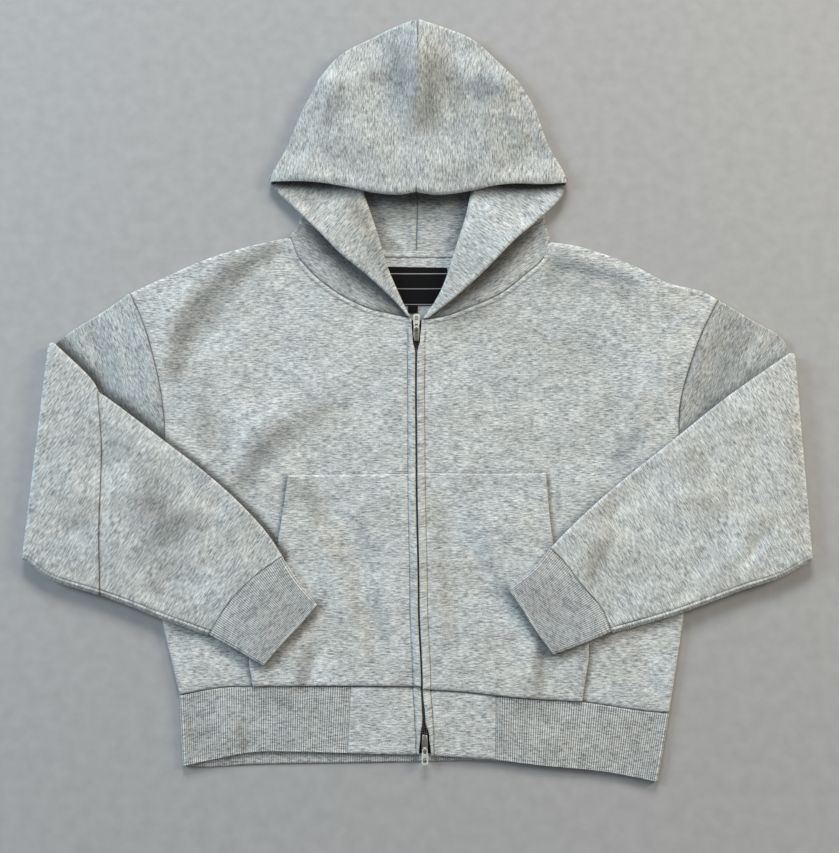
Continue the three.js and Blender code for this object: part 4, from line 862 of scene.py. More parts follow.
def sleeve_surface(name, upper, forearm):
    """What `lay` needs of a sleeve: v is 0 to 1 on the upper arm, to 2 round the elbow, to 3 on."""
    rows = SLEEVE[name]
    elbow = curve(rows["elbow"])
    outwards = BODY[name]["side"]
    top = curve([rows["elbow"][0], *rows.get("fore_top", [])[1:], *rows["wrist_top"][1:4]])
    seam = curve([rows["elbow"][1], *rows.get("fore_low", [])[1:], *rows["wrist_low"][1:]])
    dark, wide = ARM_SHADE[name]

    def place(t, v):
        made = np.zeros((len(t), 3))
        arm, fore = v <= 1, v >= 2
        bend = ~arm & ~fore
        p, _, side = on_tube(t[arm], upper, v[arm])
        crease = folds(UPPER_FOLDS, p[:, 0], p[:, 1]) * smooth(side)
        made[arm] = np.column_stack([p, mix(FLOOR_Z, front_z(p[:, 0], p[:, 1]), (side + 1) / 2) + crease])
        p, _, side = on_tube(t[bend], lambda share, _v: elbow(share), v[bend])
        reach = BEND_R - side * EDGE_R
        angle = (v[bend] - 1) * math.pi
        made[bend] = np.column_stack([
            p[:, 0] + outwards * reach * np.sin(angle), p[:, 1], BEND_Z - reach * np.cos(angle)])
        p, share, side = on_tube(t[fore], forearm, v[fore] - 2)
        crease = np.maximum(-1.4, folds(FOREARM_FOLDS, p[:, 0], p[:, 1]))
        crease = (crease - 1.5 * low_seam(p, forearm, v[fore] - 2)) * elbow_fade(p[:, 0]) * (1 - side) / 2
        height = forearm_z(p[:, 0], p[:, 1]) + EDGE_R * (1 - side) + crease
        made[fore] = np.column_stack([ridge_of(p, forearm, share, side, v[fore] - 2), height])
        return made

    def grain(t, v, points):
        """Streaks run round the arm, and go on unbroken where it is folded at the elbow."""
        turn = np.mod(t, 1)
        fold_x = np.abs(elbow(np.where(turn < 0.5, 2 * turn, 2 - 2 * turn))[:, 0])
        past = np.clip(v - 1, 0, 1) * math.pi * BEND_R
        away = np.abs(points[:, 0]) - fold_x
        reach = np.where(v <= 1, away, past + np.where(v >= 2, -away, 0))
        c, s = math.cos(STREAK_ANGLE), math.sin(STREAK_ANGLE)
        up = points[:, 1] + points[:, 2]
        return np.column_stack([reach * c + up * s, up * c - reach * s]) + 700

    def shade(points):
        """Little light reaches the upper arm along the forearm that is folded over it: painted shadow
        there, and painted shade in the groove of the seam under the arm, along the forearm's low edge.
        """
        on_arm = points[:, 2] < FRONT_Z + 2.2
        on_top = points[:, 2] > FRONT_Z + LAYER + EDGE_R
        return np.maximum(dark * beside(points, top, 4, wide) * on_arm,
                          0.6 * beside(points, seam, LOW_SEAM, 0.8) * on_top)

    def lean(t, v, points):
        """The upper arm falls away from the shoulder, and the forearm's creases roll."""
        arm = leaning(lambda x, y: 4 * folds(UPPER_FOLDS, x, y), points) + turns(UPPER_TURNS, points)
        fore = leaning(lambda x, y: 1.6 * folds(FOREARM_FOLDS, x, y) + 3.2 * swell(x, y), points)
        fore = fore * elbow_fade(points[:, 0])[:, None] + turns(FOREARM_TURNS, points)
        return np.where((v < 1.2)[:, None], arm + np.array(UPPER_LEAN[name]),
                        fore + np.array(FOREARM_LEAN[name]))
    return {"place": place, "grain": grain, "lean": lean, "shade": shade}


def whole_arm(length):
    """Shares along a sleeve with its elbow and this much of its forearm, for `sleeve_surface`."""
    return np.concatenate([lines(150, far=(4,)), np.linspace(1, 2, 11)[1:-1],
                           2 + lines(length, (1.5,), far=NEAR)])


around = round_tube(250)
for name, rows in SLEEVE.items():
    side, hole = BODY[name]["side"], BODY[name]["armhole_line"]
    elbow = curve(rows["elbow"])
    upper = along(curve(rows["upper_top"]), elbow, curve(rows["upper_low"]),
                  lambda t, hole=hole, side=side: hole(1 - np.asarray(t, float)) + np.array([side * 0.4, 0]))
    rows["seam_line"] = curve(rows["cuff_seam"])
    wrist_top, wrist_low = curve(rows["wrist_top"]), curve(rows["wrist_low"])
    if "join" in rows:
        join = curve(rows["join"])
        lengths = [
            ("sleeve_left_upper", along(curve(rows["fore_top"]), join, curve(rows["fore_low"]), elbow),
             whole_arm(75), (0.5, 0.23), "folded", "floor", 0.11),
            ("sleeve_left_lower", along(wrist_top, rows["seam_line"], wrist_low, moved(join, 0.55, 0)),
             2 + lines(250), (0.42, 0.25), "laid", "front_left_cloth", 0.09),
        ]
    else:
        lengths = [("sleeve_right", along(wrist_top, rows["seam_line"], wrist_low, elbow), whole_arm(330),
                    (0.5, 0.48), "folded", "floor", 0.19)]
    for node, forearm, stops, flat, held, on, area in lengths:
        bm = bmesh.new()
        lay(bm, us=around, vs=stops, seams="low high", closed=True, **sleeve_surface(name, upper, forearm))
        sew(node, bm, body_knit)

# Cuffs. Tubes of rib knit, sewn to the sleeve ends with the ribs along the arm, and folded
# at the wrist so that the edge is clean.
CUFF_RIB = {"pitch": 2.4, "height": 0.5}
CUFF_LONG = 66
cuff_lean = cloth_lean(lambda x, y: 3 * swell(x, y), whole=(0, 0.07, 0))
# The rib knit's grooves are painted darker, by rib_shade, for the shade in them.
rib_knit = knit_material("rib_knit_heather", (0.43, 0.44, 0.447), (0.77, 0.785, 0.785), (0.97, 0.98, 0.965),
                         contrast=1.45, rib_shade=0.78)
for name, rows in SLEEVE.items():
    seam, end = rows["seam_line"], curve(rows["cuff_end"])
    away = end(np.array(0.5)) - seam(np.array(0.5))
    away *= SEAM / np.linalg.norm(away)
    start = moved(seam, *away)
    plan = along(curve([start(np.array(0.0)), *rows["cuff_top"][1:]]), end,
                 curve([start(np.array(1.0)), *rows["cuff_low"][1:]]), start)

    def cuff_at(t, v, plan=plan):
        p, _, side = on_tube(t, plan, v)
        return np.column_stack([p, forearm_z(p[:, 0], p[:, 1]) + EDGE_R * (1 - side)])

    width = gap_between(seam(np.array(0.0)), seam(np.array(1.0)))
    ribs = round(2 * width / CUFF_RIB["pitch"])
    bm = bmesh.new()
    lay(bm, cuff_at, np.linspace(0, 1, 4 * ribs + 1), lines(CUFF_LONG, step=4.5),
        lambda t, v, points, width=width: np.column_stack([t * 2 * width, v * CUFF_LONG]),
        edges="high", seams="low", closed=True, lean=cuff_lean,
        rib={"phase": lambda t, ribs=ribs: t * ribs, "height": CUFF_RIB["height"]})
    sew(f"cuff_{name}", bm, rib_knit)

# Hem. A ribbed band round the sides and back, from block to block, and a plain block of the
# body's knit on each side of the zip, where the topstitching runs on to the edge.
HEM = {
    "join": {"left": -76.3, "right": 91},
    "foot": {"left": -406.5, "right": -407.5},
    "edge": {
        "left": [(-79.7, -404.9), (-144, -403.3), (-184, -403.7), (-223, -410.3), (-264.5, -418.7)],
        "right": [(89.5, -412.3), (134.5, -417.9), (214, -425.6), (271, -436)],
    },
    "block_edge": {"left": (-40, -406.3), "right": (50, -409.8)},
    "back_seam": [(-271, -340.5), (-185, -333.3), (0, -334.3), (112, -343.6), (287, -360.9)],
    "back_edge": [(-264.5, -418.7), (-246, -420.5), (-184, -417.4), (-64, -415.5), (3, -414.4), (89, -413.6),
                  (190, -423), (271, -436)],
}
HEM_RIB = {"pitch": 2.65, "height": 0.55}
RIB_GAP = 0.65
FRONT_SHARE = 0.26          # share of the way round that each front takes, from block to side
TURN = 0.014                # and each side fold
HEM_HIGH = 74


def hem_seam(name):
    line = BODY[name]["hem_line"]
    return moved(stretch(line, share_at_x(line, HEM["join"][name]), 1), 0, -RIB_GAP)


hem_low = {name: curve(rows) for name, rows in (*HEM["edge"].items(), ("back", HEM["back_edge"]))}
hem_high = {"left": hem_seam("left"), "right": hem_seam("right"), "back": curve(HEM["back_seam"])}


def hem_at(s, v):
    """Middle surface of the band: s from the left block round the back to the right block."""
    made = np.zeros((len(s), 3))
    for name, way, inwards in (("left", s, 1), ("right", 1 - s, -1)):
        front = way <= FRONT_SHARE
        t = way[front] / FRONT_SHARE
        p = mix(hem_high[name](t), hem_low[name](t), v[front][:, None])
        p[:, 0] += inwards * EDGE_R * t**8
        made[front] = np.column_stack([p, panel_z(p)])
        turning = (way > FRONT_SHARE) & (way < FRONT_SHARE + TURN)
        angle = (way[turning] - FRONT_SHARE) / TURN * math.pi
        end = np.ones(turning.sum())
        p = mix(hem_high[name](end), hem_low[name](end), v[turning][:, None])
        p[:, 0] += inwards * EDGE_R * (1 - np.sin(angle))
        middle = FLOOR_Z + EDGE_R
        up = np.cos(angle)
        z = middle + (panel_z(p) - middle) * np.maximum(0, up) + EDGE_R * np.minimum(0, up)
        made[turning] = np.column_stack([p, z])
    back = (s >= FRONT_SHARE + TURN) & (s <= 1 - FRONT_SHARE - TURN)
    t = (s[back] - FRONT_SHARE - TURN) / (1 - 2 * (FRONT_SHARE + TURN))
    p = mix(hem_high["back"](t), hem_low["back"](t), v[back][:, None])
    p[:, 0] += EDGE_R * ((1 - t) ** 8 - t**8)
    made[back] = np.column_stack([p, np.full(back.sum(), FLOOR_Z)])
    return made


hem_run = np.array([0, 196, 204, 758, 766, 962])
hem_share = np.array([0, FRONT_SHARE, FRONT_SHARE + TURN, 1 - FRONT_SHARE - TURN, 1 - FRONT_SHARE, 1])
hem_stops = np.arange(0, hem_run[-1] + 0.01, HEM_RIB["pitch"] / 4)
# Painted shade on the band where it lies low, at the back and on the lower half of its side folds.
bm = bmesh.new()
lay(bm, hem_at, np.interp(hem_stops, hem_run, hem_share), lines(HEM_HIGH, step=7),
    lambda s, v, points: np.column_stack([np.interp(s, hem_share, hem_run), v * HEM_HIGH]),
    edges="high", seams="low left right", puff=0.35, deep=0.25,
    rib={"phase": lambda s: np.interp(s, hem_share, hem_run) / HEM_RIB["pitch"], "height": HEM_RIB["height"]},
    shade=lambda q: 0.3 * smooth((FRONT_Z - 2 - q[:, 2]) / 2))
sew("hem_rib", bm, rib_knit)

for name, panel in BODY.items():
    side = panel["side"]
    low_end = HEM["edge"][name][0][0] - side * SEAM, HEM["edge"][name][0][1]
    line = panel["hem_line"]
    top_line = moved(stretch(line, 0, share_at_x(line, HEM["join"][name] - side * SEAM)), 0, -SEAM)
    zip_line = front_edge(side, HEM["foot"][name], HEM_SEAM_Y[name] - SEAM)
    low_line = curve([zip_line(np.array(0.0)), HEM["block_edge"][name], low_end])
    plan = patch(low_line, curve([low_end, top_line(np.array(1.0))]), top_line, zip_line)

    def block_at(u, v, plan=plan):
        p = plan(u, v)
        return np.column_stack([p, panel_z(p)])

    # Painted shade in the groove of the row of stitches beside the zip, and in the seam grooves.
    bm = bmesh.new()
    lay(bm, block_at, lines(80, ZIP_NEAR, far=NEAR), lines(HEM_HIGH), on_plan, edges="low left",
        seams="high right", puff=0.4, deep=0.25, shade=facing_line)
    sew(f"hem_block_{name}", bm, body_knit)

# Hood. Two halves of the body's knit, sewn down the middle. Each half lies on the floor,
# turns over the arch into the crown, which is folded down over the mouth, and comes forward
# from the neck seam to a lapel that is rolled open. The face edge is turned in and clean.
HOOD = {
    "left": {
        "side": -1,
        "side_edge": [(-156, 208.8), (-147, 222), (-143, 240), (-158, 266), (-181.5, 281), (-178, 292),
                      (-162, 323), (-146, 366), (-122, 417)],
        "arch": [(-1, 498), (-24, 489), (-56, 472), (-96, 449), (-122, 417)],
        "crown_side": [(-181.5, 279), (-178, 292), (-162, 323), (-146, 366), (-122, 417)],
        "face_edge": [(-1.2, 262.5), (-22, 259), (-54, 262), (-93, 271), (-140, 278), (-166, 279.5),
                      (-181.5, 279)],
        "lapel_side": [(-156, 208.8), (-147, 222), (-143, 240), (-152, 262), (-166, 292)],
        "roll": [(-10, 108), (-23, 136), (-36.5, 168.5), (-45, 197), (-55, 230), (-66.5, 265), (-72, 288)],
        "lapel_edge": [(-13, 112.5), (-31, 131), (-61, 158.5), (-93, 185), (-124, 218), (-156, 251),
                       (-177.5, 274), (-172, 290)],
    },
    "right": {
        "side": 1,
        "side_edge": [(162, 203.3), (160, 215), (156, 234), (162, 262), (185, 281), (182, 290), (163, 327),
                      (145, 380), (126, 413)],
        "arch": [(2.6, 498), (33, 487), (70, 470), (97, 444), (126, 413)],
        "crown_side": [(185, 278), (182, 290), (163, 327), (145, 380), (126, 413)],
        "face_edge": [(-0.8, 262.5), (24, 259), (64, 264), (94, 271), (118, 274), (153, 275), (185, 278)],
        "lapel_side": [(162, 203.3), (160, 215), (156, 234), (158, 262), (168, 292)],
        "roll": [(9, 105), (28, 136), (42, 172.5), (50.5, 201.5), (60.5, 234), (67, 265), (73, 288)],
        "lapel_edge": [(14, 106.5), (47, 132), (83, 164.5), (122, 205.5), (153, 234), (181, 267), (176, 290)],
    },
}
HOOD_Z = {"edge": 12.2, "rise": 8.5, "ridge": 2.2, "roll": 8.0, "lapel": 9.0}
HALF_GAP = 0.22             # from the middle to each half, on the floor
CROWN_GAP = 0.03            # and in the crown
HOOD_GAP = 0.45
SHOULDER_CLEAR = 1.4
ARCH_NEAR = (0.25, 0.75, 1.5, 2.8, 4.2, 5.6)
ROLL_NEAR = (0.3, 0.9, 1.8, 2.8, 3.8)
CENTRE = [(-1, 190), (0.5, 260), (0, 350), (1, 430), (0.8, 498)]
CROWN_FOLDS = [
    (-110, 430, -60, 300, 26, 1.6), (-150, 330, -90, 290, 16, -1.0), (110, 420, 70, 300, 26, 1.6),
    (150, 330, 100, 290, 16, -1.2), (-40, 470, -30, 380, 16, -0.9), (40, 465, 34, 370, 14, -1.3),
    (-60, 290, 60, 288, 20, 0.9), (-140, 295, -100, 400, 12, 0.9), (140, 300, 112, 390, 12, 1.0),
]
LAPEL_FOLDS = [(-100, 250, -60, 190, 14, 0.9), (-150, 262, -110, 215, 8, -0.8), (100, 250, 60, 190, 14, 0.8),
               (150, 255, 110, 212, 8, -0.8), (-70, 200, -40, 150, 8, -0.6), (70, 195, 44, 150, 8, -0.6)]
CROWN_TURNS = [
    (-28, 467, -19, 377, 18, -0.6, -0.51), (19, 451, 11, 350, 17, 0.63, -0.75),
    (38, 430, 53, 370, 11, 0.27, -0.42), (-90, 410, -118, 344, 14, 0.39, -0.24),
    (76, 413, 88, 384, 17, -0.39, -0.45), (72, 330, 90, 291, 14, -0.3, 0.06),
    (-71, 416, -40, 408, 12, 0.18, -0.39), (91, 437, 152, 317, 31, 0, -0.21),
    (45, 440, 95, 310, 36, 0.04, -0.11),
]
LAPEL_TURNS = [
    (-80, 253, -30, 166, 14, 0.7, -0.34), (102, 247, 42, 145, 14, -0.36, 0.14),
]
LAPEL_LEAN = {-1: (0.2, -0.13, 0.0), 1: (-0.18, 0.0, 0.0)}
STAND_TURNS = [
    (-35, 133, -82, 181, 14, -0.6, -0.05), (42, 126, 77, 151, 13, 0.5, -0.25),
    (-143, 215, -116, 197, 12, 0.1, 0.1),
]
STAND_LEAN = {-1: (-0.06, -0.36, 0.0), 1: (0.1, -0.26, 0.0)}
MOUTH_LEAN = (0.04, -0.26, 0.0)
CROWN_LEAN = (0.0, -0.2, 0.0)
ARCH_R = (HOOD_Z["edge"] - FLOOR_Z) / 2


def roll_grow(v):
    """How far a lapel's roll has opened along its length, lower again under the crown."""
    return smooth(v / 0.45) * (1 - 0.5 * smooth((v - 0.6) / 0.3))


def roll_radius(v):
    return HOOD_Z["roll"] * roll_grow(v) * 0.5 + (HOOD_Z["lapel"] - FRONT_Z) / 2


def under_crown(points, reach):
    """1 under the crown's face edge, falling to 0 below it."""
    rows = HOOD["left"]["face_edge"][::-1] + HOOD["right"]["face_edge"]
    below = np.interp(points[:, 0], *np.array(rows).T) - points[:, 1]
    return np.exp(-((np.maximum(below, 0) / reach) ** 2))


def lapel_shade(points):
    """Little light reaches a lapel under the crown, least at its outer end."""
    out = np.abs(points[:, 0]) - 60
    return (0.9 * under_crown(points, 4 + 7 * smooth(out / 80)) * smooth(out / 60)
            + 0.2 * under_crown(points, 8.0))


def stand_shade(points):
    """Nor the stand, beside the lapel that hangs over it."""
    rows = HOOD[side_name(points)]
    return 0.95 * beside(points, curve(rows["lapel_edge"]), 0, 18) * smooth((262 - points[:, 1]) / 60)


def mouth_shade(points):
    """Nor deep into the mouth, under the crown and behind the lapels."""
    sides = [beside(points, curve(rows["roll"]), 0, 9) for rows in HOOD.values()]
    return np.maximum(0.85 * under_crown(points, 20.0), 0.55 * np.maximum(*sides))


def crown_seam(points):
    """The seam down the crown is plain to see only near its top."""
    y = points[:, 1]
    return 40 * smooth((474 - y) / 26) * smooth((y - 268) / 8)


def crown_rise(x, y):
    """The crown rises to its seam, higher towards the top."""
    ridge = 9 * np.exp(-np.abs(x / 24) ** 1.5) * smooth((y - 330) / 80)
    return ridge + 2.2 * folds(CROWN_FOLDS, x, y) + 3 * swell(x, y)


def roll_swell(x, y):
    return swell(1.3 * x, 1.3 * y)


crown_lean = cloth_lean(crown_rise, CROWN_TURNS, CROWN_LEAN)
mouth_lean = cloth_lean(lambda x, y: 2.5 * roll_swell(x, y), whole=MOUTH_LEAN)


def up_plan(u, v, points):
    """Cloth whose streaks run up the garment."""
    return on_plan(u, v, points)[:, ::-1] + 1300


def turned(angle, shift):
    """Cloth whose streaks run at this angle, in degrees."""
    c, s = math.cos(math.radians(angle)), math.sin(math.radians(angle))
    return lambda u, v, points: on_plan(u, v, points) @ np.array([[c, -s], [s, c]]) + shift


for name, rows in HOOD.items():
    side = rows["side"]
    apex = (0.8 + side * 0.6, 498)
    from_middle = moved(stretch(back_neck, 0.5, 0 if side < 0 else 1), 0, HOOD_GAP)
    start = from_middle(np.array(0.0))

    def lower(t, from_middle=from_middle, start=start, side=side):
        t = np.asarray(t, float)
        p = from_middle(t)
        return p + np.stack([(-1 + side * HALF_GAP - start[0]) * np.maximum(0, 1 - 6 * t), 0.6 * t], -1)

    centre_line = [(-1 + side * HALF_GAP, start[1]), *((x + side * HALF_GAP, y) for x, y in CENTRE[1:-1]),
                   apex]
    arch = curve([apex, *rows["arch"][1:]])
    ground = patch(lower, curve([lower(1.0), *rows["side_edge"][1:]]), arch, curve(centre_line))

    def ground_at(u, v, ground=ground):
        p = ground(u, v)
        radius = mix(EDGE_R, ARCH_R, smooth((v - 0.27) / 0.12))
        distance = np.minimum(gap_between(p, ground(1, v)), gap_between(p, ground(u, 1)))
        crease = 0.8 * np.exp(-(((np.abs(p[:, 0]) - 34) / 9) ** 2)) * smooth((p[:, 1] - 196) / 20)
        return np.column_stack([p, FLOOR_Z + sink(distance, radius) + crease * smooth(distance / 20)])

    crown_middle = [(x + side * CROWN_GAP, y) for x, y in ((-1, 262.5), (0, 350), (1, 430))]
    crown = patch(curve([crown_middle[0], *rows["face_edge"][1:]]), curve(rows["crown_side"]), arch,
                  curve([*crown_middle, apex]))

    def crown_at(u, v, crown=crown):
        p = crown(u, v)
        x, y = p[:, 0], p[:, 1]
        distance = np.minimum(gap_between(p, crown(1, v)), gap_between(p, crown(u, 1)))
        ridge = HOOD_Z["ridge"] * np.exp(-((x / 11) ** 2)) * smooth((y - 300) / 90)
        height = HOOD_Z["edge"] + HOOD_Z["rise"] * smooth(distance / 75) + ridge * smooth(distance / 25)
        face_gap = gap_between(p, crown(u, 0))
        hem = 1.3 * np.exp(-(((face_gap - 7) / 6) ** 2)) - 1.2 * np.exp(-((face_gap / 1.8) ** 2))
        crease = (np.clip(folds(CROWN_FOLDS, x, y), -1.6, 2.2) + 1.3 * swell(x, y)) * smooth(distance / 30)
        return np.column_stack([p, height - sink(distance, ARCH_R) + crease + hem * smooth(distance / 25)])

    neck = BODY[name]["neck_line"]
    front_share = share_at_x(neck, rows["roll"][0][0])
    straight = moved(stretch(neck, 1, front_share), -side * HOOD_GAP, HOOD_GAP)

    def neck_seam(t, straight=straight):
        t = np.asarray(t, float)
        return straight(t) + np.stack([0 * t, SHOULDER_CLEAR * np.maximum(0, 1 - 6 * t)], -1)

    roll_line = curve([neck_seam(1.0), *rows["roll"][1:]])
    stand = patch(neck_seam, roll_line, curve([rows["lapel_side"][4], rows["roll"][6]]),
                  curve([neck_seam(0.0), *rows["lapel_side"][1:]]))

    def stand_at(u, v, stand=stand):
        p = stand(u, v)
        turn = sink(gap_between(p, stand(1, v)), roll_radius(v)) - sink(gap_between(p, stand(0, v)), EDGE_R)
        under = 3.0 * under_crown(p, 11.0) * smooth((np.abs(p[:, 0]) - 95) / 45)
        return np.column_stack([p, FRONT_Z + turn - under + 0.5 * swell(p[:, 0] * 1.7, p[:, 1] * 1.7)])

    lapel = patch(curve([rows["roll"][0], rows["lapel_edge"][0]]), curve(rows["lapel_edge"]),
                  curve([rows["roll"][6], rows["lapel_edge"][-1]]), roll_line)

    def lapel_at(u, v, lapel=lapel):
        p = lapel(u, v)
        roll = gap_between(p, lapel(0, v))
        settle = smooth(roll / 60) * smooth((v - 0.5) / 0.38)
        lift = HOOD_Z["roll"] * roll_grow(v) * (1 - settle)
        crease = folds(LAPEL_FOLDS, p[:, 0], p[:, 1]) + 0.6 * roll_swell(p[:, 0], p[:, 1])
        crease = crease * smooth(roll / 12) * smooth((1 - v) / 0.2)
        under = 3.6 * under_crown(p, 9.0) * smooth((np.abs(p[:, 0]) - 105) / 45)
        return np.column_stack([p, HOOD_Z["lapel"] + lift - sink(roll, roll_radius(v)) + crease - under])

    stand_lean = cloth_lean(lambda x, y: 2.5 * roll_swell(x, y), STAND_TURNS, STAND_LEAN[side])
    lapel_lean = cloth_lean(lambda x, y: 2.0 * folds(LAPEL_FOLDS, x, y) + 2.5 * roll_swell(x, y), LAPEL_TURNS,
                            LAPEL_LEAN[side])
    # Painted shadows in the mouth, on the stands and on the lapels, and painted shade in the seam grooves.
    bm = bmesh.new()
    lay(bm, ground_at, lines(150, far=ARCH_NEAR), lines(300, far=ARCH_NEAR), on_plan, seams="left low",
        lean=mouth_lean, shade=mouth_shade)
    lay(bm, crown_at, lines(150, (*NEAR, 4), far=ARCH_NEAR), lines(220, (*NEAR, 3.6), far=ARCH_NEAR), up_plan,
        edges="low", seams="left", hide=crown_seam, lean=crown_lean)
    lay(bm, stand_at, lines(120, (0.3, 1.0, 2.4), far=ROLL_NEAR), lines(190), turned(30 * side, 1900),
        seams="low", lean=stand_lean, shade=stand_shade)
    lay(bm, lapel_at, lines(80, ROLL_NEAR, far=NEAR), lines(190), turned(8 - 46 * side, 2300), edges="right",
        lean=lapel_lean, shade=lapel_shade)
    sew(f"hood_{name}", bm, body_knit)

# Neck tape, label and size tag. A narrow tape covers the back neck seam inside. Below it a
# bare black woven label with thin plain stripes is sewn on, with a small black tag under it.
FLAT_Z = 2.9
LABEL_STRIPES = [(0.1665, 0.0004), (0.1475, 0.0003), (0.1275, 0.0003)]      # height, and half the width
STRIPE_COLOUR = (0.4, 0.4, 0.39, 1)


def woven_material(name, colour, roughness, dark, light, scale, distance):
    """A woven cloth's material, its tree and shader, its UV map and its colour."""
    made, tree, shader = plain_material(name, colour, roughness, Specular_IOR_Level=0.12)
    uv = add_node(tree, "ShaderNodeUVMap", uv_map="cloth").outputs["UV"]
    warp, weft = (add_node(tree, "ShaderNodeTexWave", {"Vector": uv, "Scale": scale, "Distortion": 0.6},
                           bands_direction=way).outputs["Fac"] for way in "XY")
    woven = add_node(tree, "ShaderNodeMath", {0: warp, 1: weft}, operation="MULTIPLY").outputs[0]
    bump = add_node(tree, "ShaderNodeBump", {"Height": woven, "Distance": distance})
    tree.links.new(bump.outputs["Normal"], shader.inputs["Normal"])
    shown = two_tone(tree, woven, dark, light)
    tree.links.new(shown, shader.inputs["Base Color"])
    return made, tree, shader, uv, shown


label_material, label_tree, label_shader, label_uv, label_colour = woven_material(
    "black_woven_label", (0.006, 0.006, 0.007), 0.85, (0.0025, 0.0025, 0.003), (0.008, 0.008, 0.009), 500.0,
    0.0001)
label_place = add_node(label_tree, "ShaderNodeSeparateXYZ", {"Vector": label_uv})
for height, half in LABEL_STRIPES:
    stripe = add_node(label_tree, "ShaderNodeMath", {0: label_place.outputs["Y"], 1: height, 2: half},
                      operation="COMPARE")
    label_colour = mixed(label_tree, stripe.outputs[0], label_colour, STRIPE_COLOUR)
label_tree.links.new(label_colour, label_shader.inputs["Base Color"])


def tape_at(u, v):
    """Along the back neck seam, from 6.5 mm above it to 2.5 mm below."""
    p = back_neck(mix(0.3, 0.66, u))
    return np.column_stack([p[:, 0], p[:, 1] + mix(-2.5, 6.5, v), np.full(len(p), FLAT_Z)])


def label_at(u, v):
    x = mix(-36, 37, u)
    y = mix(123, mix(172.5, 171, u), v)
    return np.column_stack([x, y, FLAT_Z + 0.5 * np.sin(u * math.pi) * np.sin(v * math.pi) + 0.2])


def tag_at(u, v):
    return np.column_stack([mix(-11, 1, u), mix(113.5, 122.6, v), np.full(len(u), FLAT_Z + 0.3)])


for node, place, size, material, slot in (
        ("neck_tape", tape_at, (123, 9), body_knit, "woven_tape"),
        ("neck_label", label_at, (73, 49), label_material, "woven_label"),
        ("size_tag", tag_at, (12, 9), label_material, "woven_label")):
    # Painted shade in the grooves along each piece's low and high edges.
    bm = bmesh.new()
    lay(bm, place, lines(size[0], (0.3, 0.8)), lines(size[1], (0.3, 0.8), step=1.5), on_plan,
        edges="left right", seams="low high", puff=0, lean=None)
    flat = (max(size[0] * MM, 0.01), max(size[1] * MM, 0.01))
    sew(node, bm, material,
        thick=0.8)

# Zip. A black tape on each side, sewn behind the turned front edges, with a row of small
# dark metal teeth along each that mesh on the middle line.
TAPE = {"wide": 13, "thick": 0.8, "z": 3.7, "low": -405, "high": 104}
TOOTH = {"pitch": 2.4, "long": 1.35, "wide": 2.6, "high": 1.7, "z": 4.05, "bevel": 0.3}
zip_cloth = woven_material("black_zip_tape", (0.008, 0.008, 0.009), 0.9, (0.004, 0.004, 0.005),
                           (0.013, 0.013, 0.015), 420.0, 0.0002)[0]


def metal_material(name, dark, light, roughness, metallic=1.0):
    """Plated metal, a little uneven and rubbed."""
    made, tree, shader = plain_material(name, light, roughness, Metallic=metallic)
    rubbed = object_noise(tree, 700.0, 3.0)
    tree.links.new(two_tone(tree, rubbed, dark, light, (0.3, 0.7)), shader.inputs["Base Color"])
    rough = add_node(tree, "ShaderNodeMapRange", {
        "Value": rubbed, "To Min": roughness - 0.1, "To Max": roughness + 0.15})
    tree.links.new(rough.outputs[0], shader.inputs["Roughness"])
    bump = add_node(tree, "ShaderNodeBump", {"Height": rubbed, "Distance": 0.00005})
    tree.links.new(bump.outputs["Normal"], shader.inputs["Normal"])
    return made


def on_part(x, y, z):
    """A plan point in the part's own frame, in metres."""
    return (Vector((x, y, z)) + Vector(PLAN_ORIGIN)) * MM


def box_at(bm, middle, size):
    """Adds a box to a bmesh, and gives its corners."""
    matrix = Matrix.Translation(on_part(*middle)) @ Matrix.Diagonal((*(Vector(size) * MM), 1))
    return bmesh.ops.create_cube(bm, size=1, matrix=matrix)["verts"]


def bevel(bm, edges, offset, segments):
    bmesh.ops.bevel(bm, geom=edges, offset=offset * MM, segments=segments, profile=0.5, affect="EDGES",
                    material=-1)


teeth_metal = metal_material("dark_teeth_metal", (0.06, 0.06, 0.062), (0.32, 0.31, 0.29), 0.42)
for name, panel in BODY.items():
    side = panel["side"]

    def tape_line(u, v, side=side):
        y = mix(TAPE["low"], TAPE["high"], v)
        x = zip_x(y)[0] + side * mix(0.5, TAPE["wide"], u)
        return np.column_stack([x, y, np.full(len(y), TAPE["z"])])

    bm = bmesh.new()
    lay(bm, tape_line, lines(TAPE["wide"], (0.4,)), lines(509, (0.4,), step=6), on_plan, puff=0, lean=None)
    sew(f"zip_tape_{name}", bm, zip_cloth, thick=TAPE["thick"])
    bm = bmesh.new()
    for y in np.arange(-404 + (TOOTH["pitch"] / 2 if side > 0 else 0), 103, TOOTH["pitch"]):
        x, space = zip_x(np.array(y))
        parted = np.clip(space - 1.4, 0, 1.6)
        tooth = box_at(bm, (x + side * (0.75 + parted), y, TOOTH["z"]),
                       (TOOTH["wide"], TOOTH["long"], TOOTH["high"]))
        bevel(bm, list({edge for vert in tooth for edge in vert.link_edges}), TOOTH["bevel"], 1)
    teeth = new_object(f"zip_teeth_{name}", mesh_of(bm, f"zip_teeth_{name}", smooth=False), teeth_metal)
    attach(teeth, "garment")

# Sliders and pull tabs. Cast nickel-plated metal: a plate that holds the teeth, an arch over
# it, and a tab whose pin turns in the arch, so that it can lie flat or be pulled.
SLIDER = {"low": 4.9, "high": 7.3, "wide": 6.8, "nose_wide": 4.8, "pin_z": 8.8, "arch_top": 11.2}
CHEEK = {"near": 0.9, "far": 1.9, "half": 3.1, "high": 0.9}
STRAP = {"wide": 2.2, "thick": 1.1, "drop": 3.2}
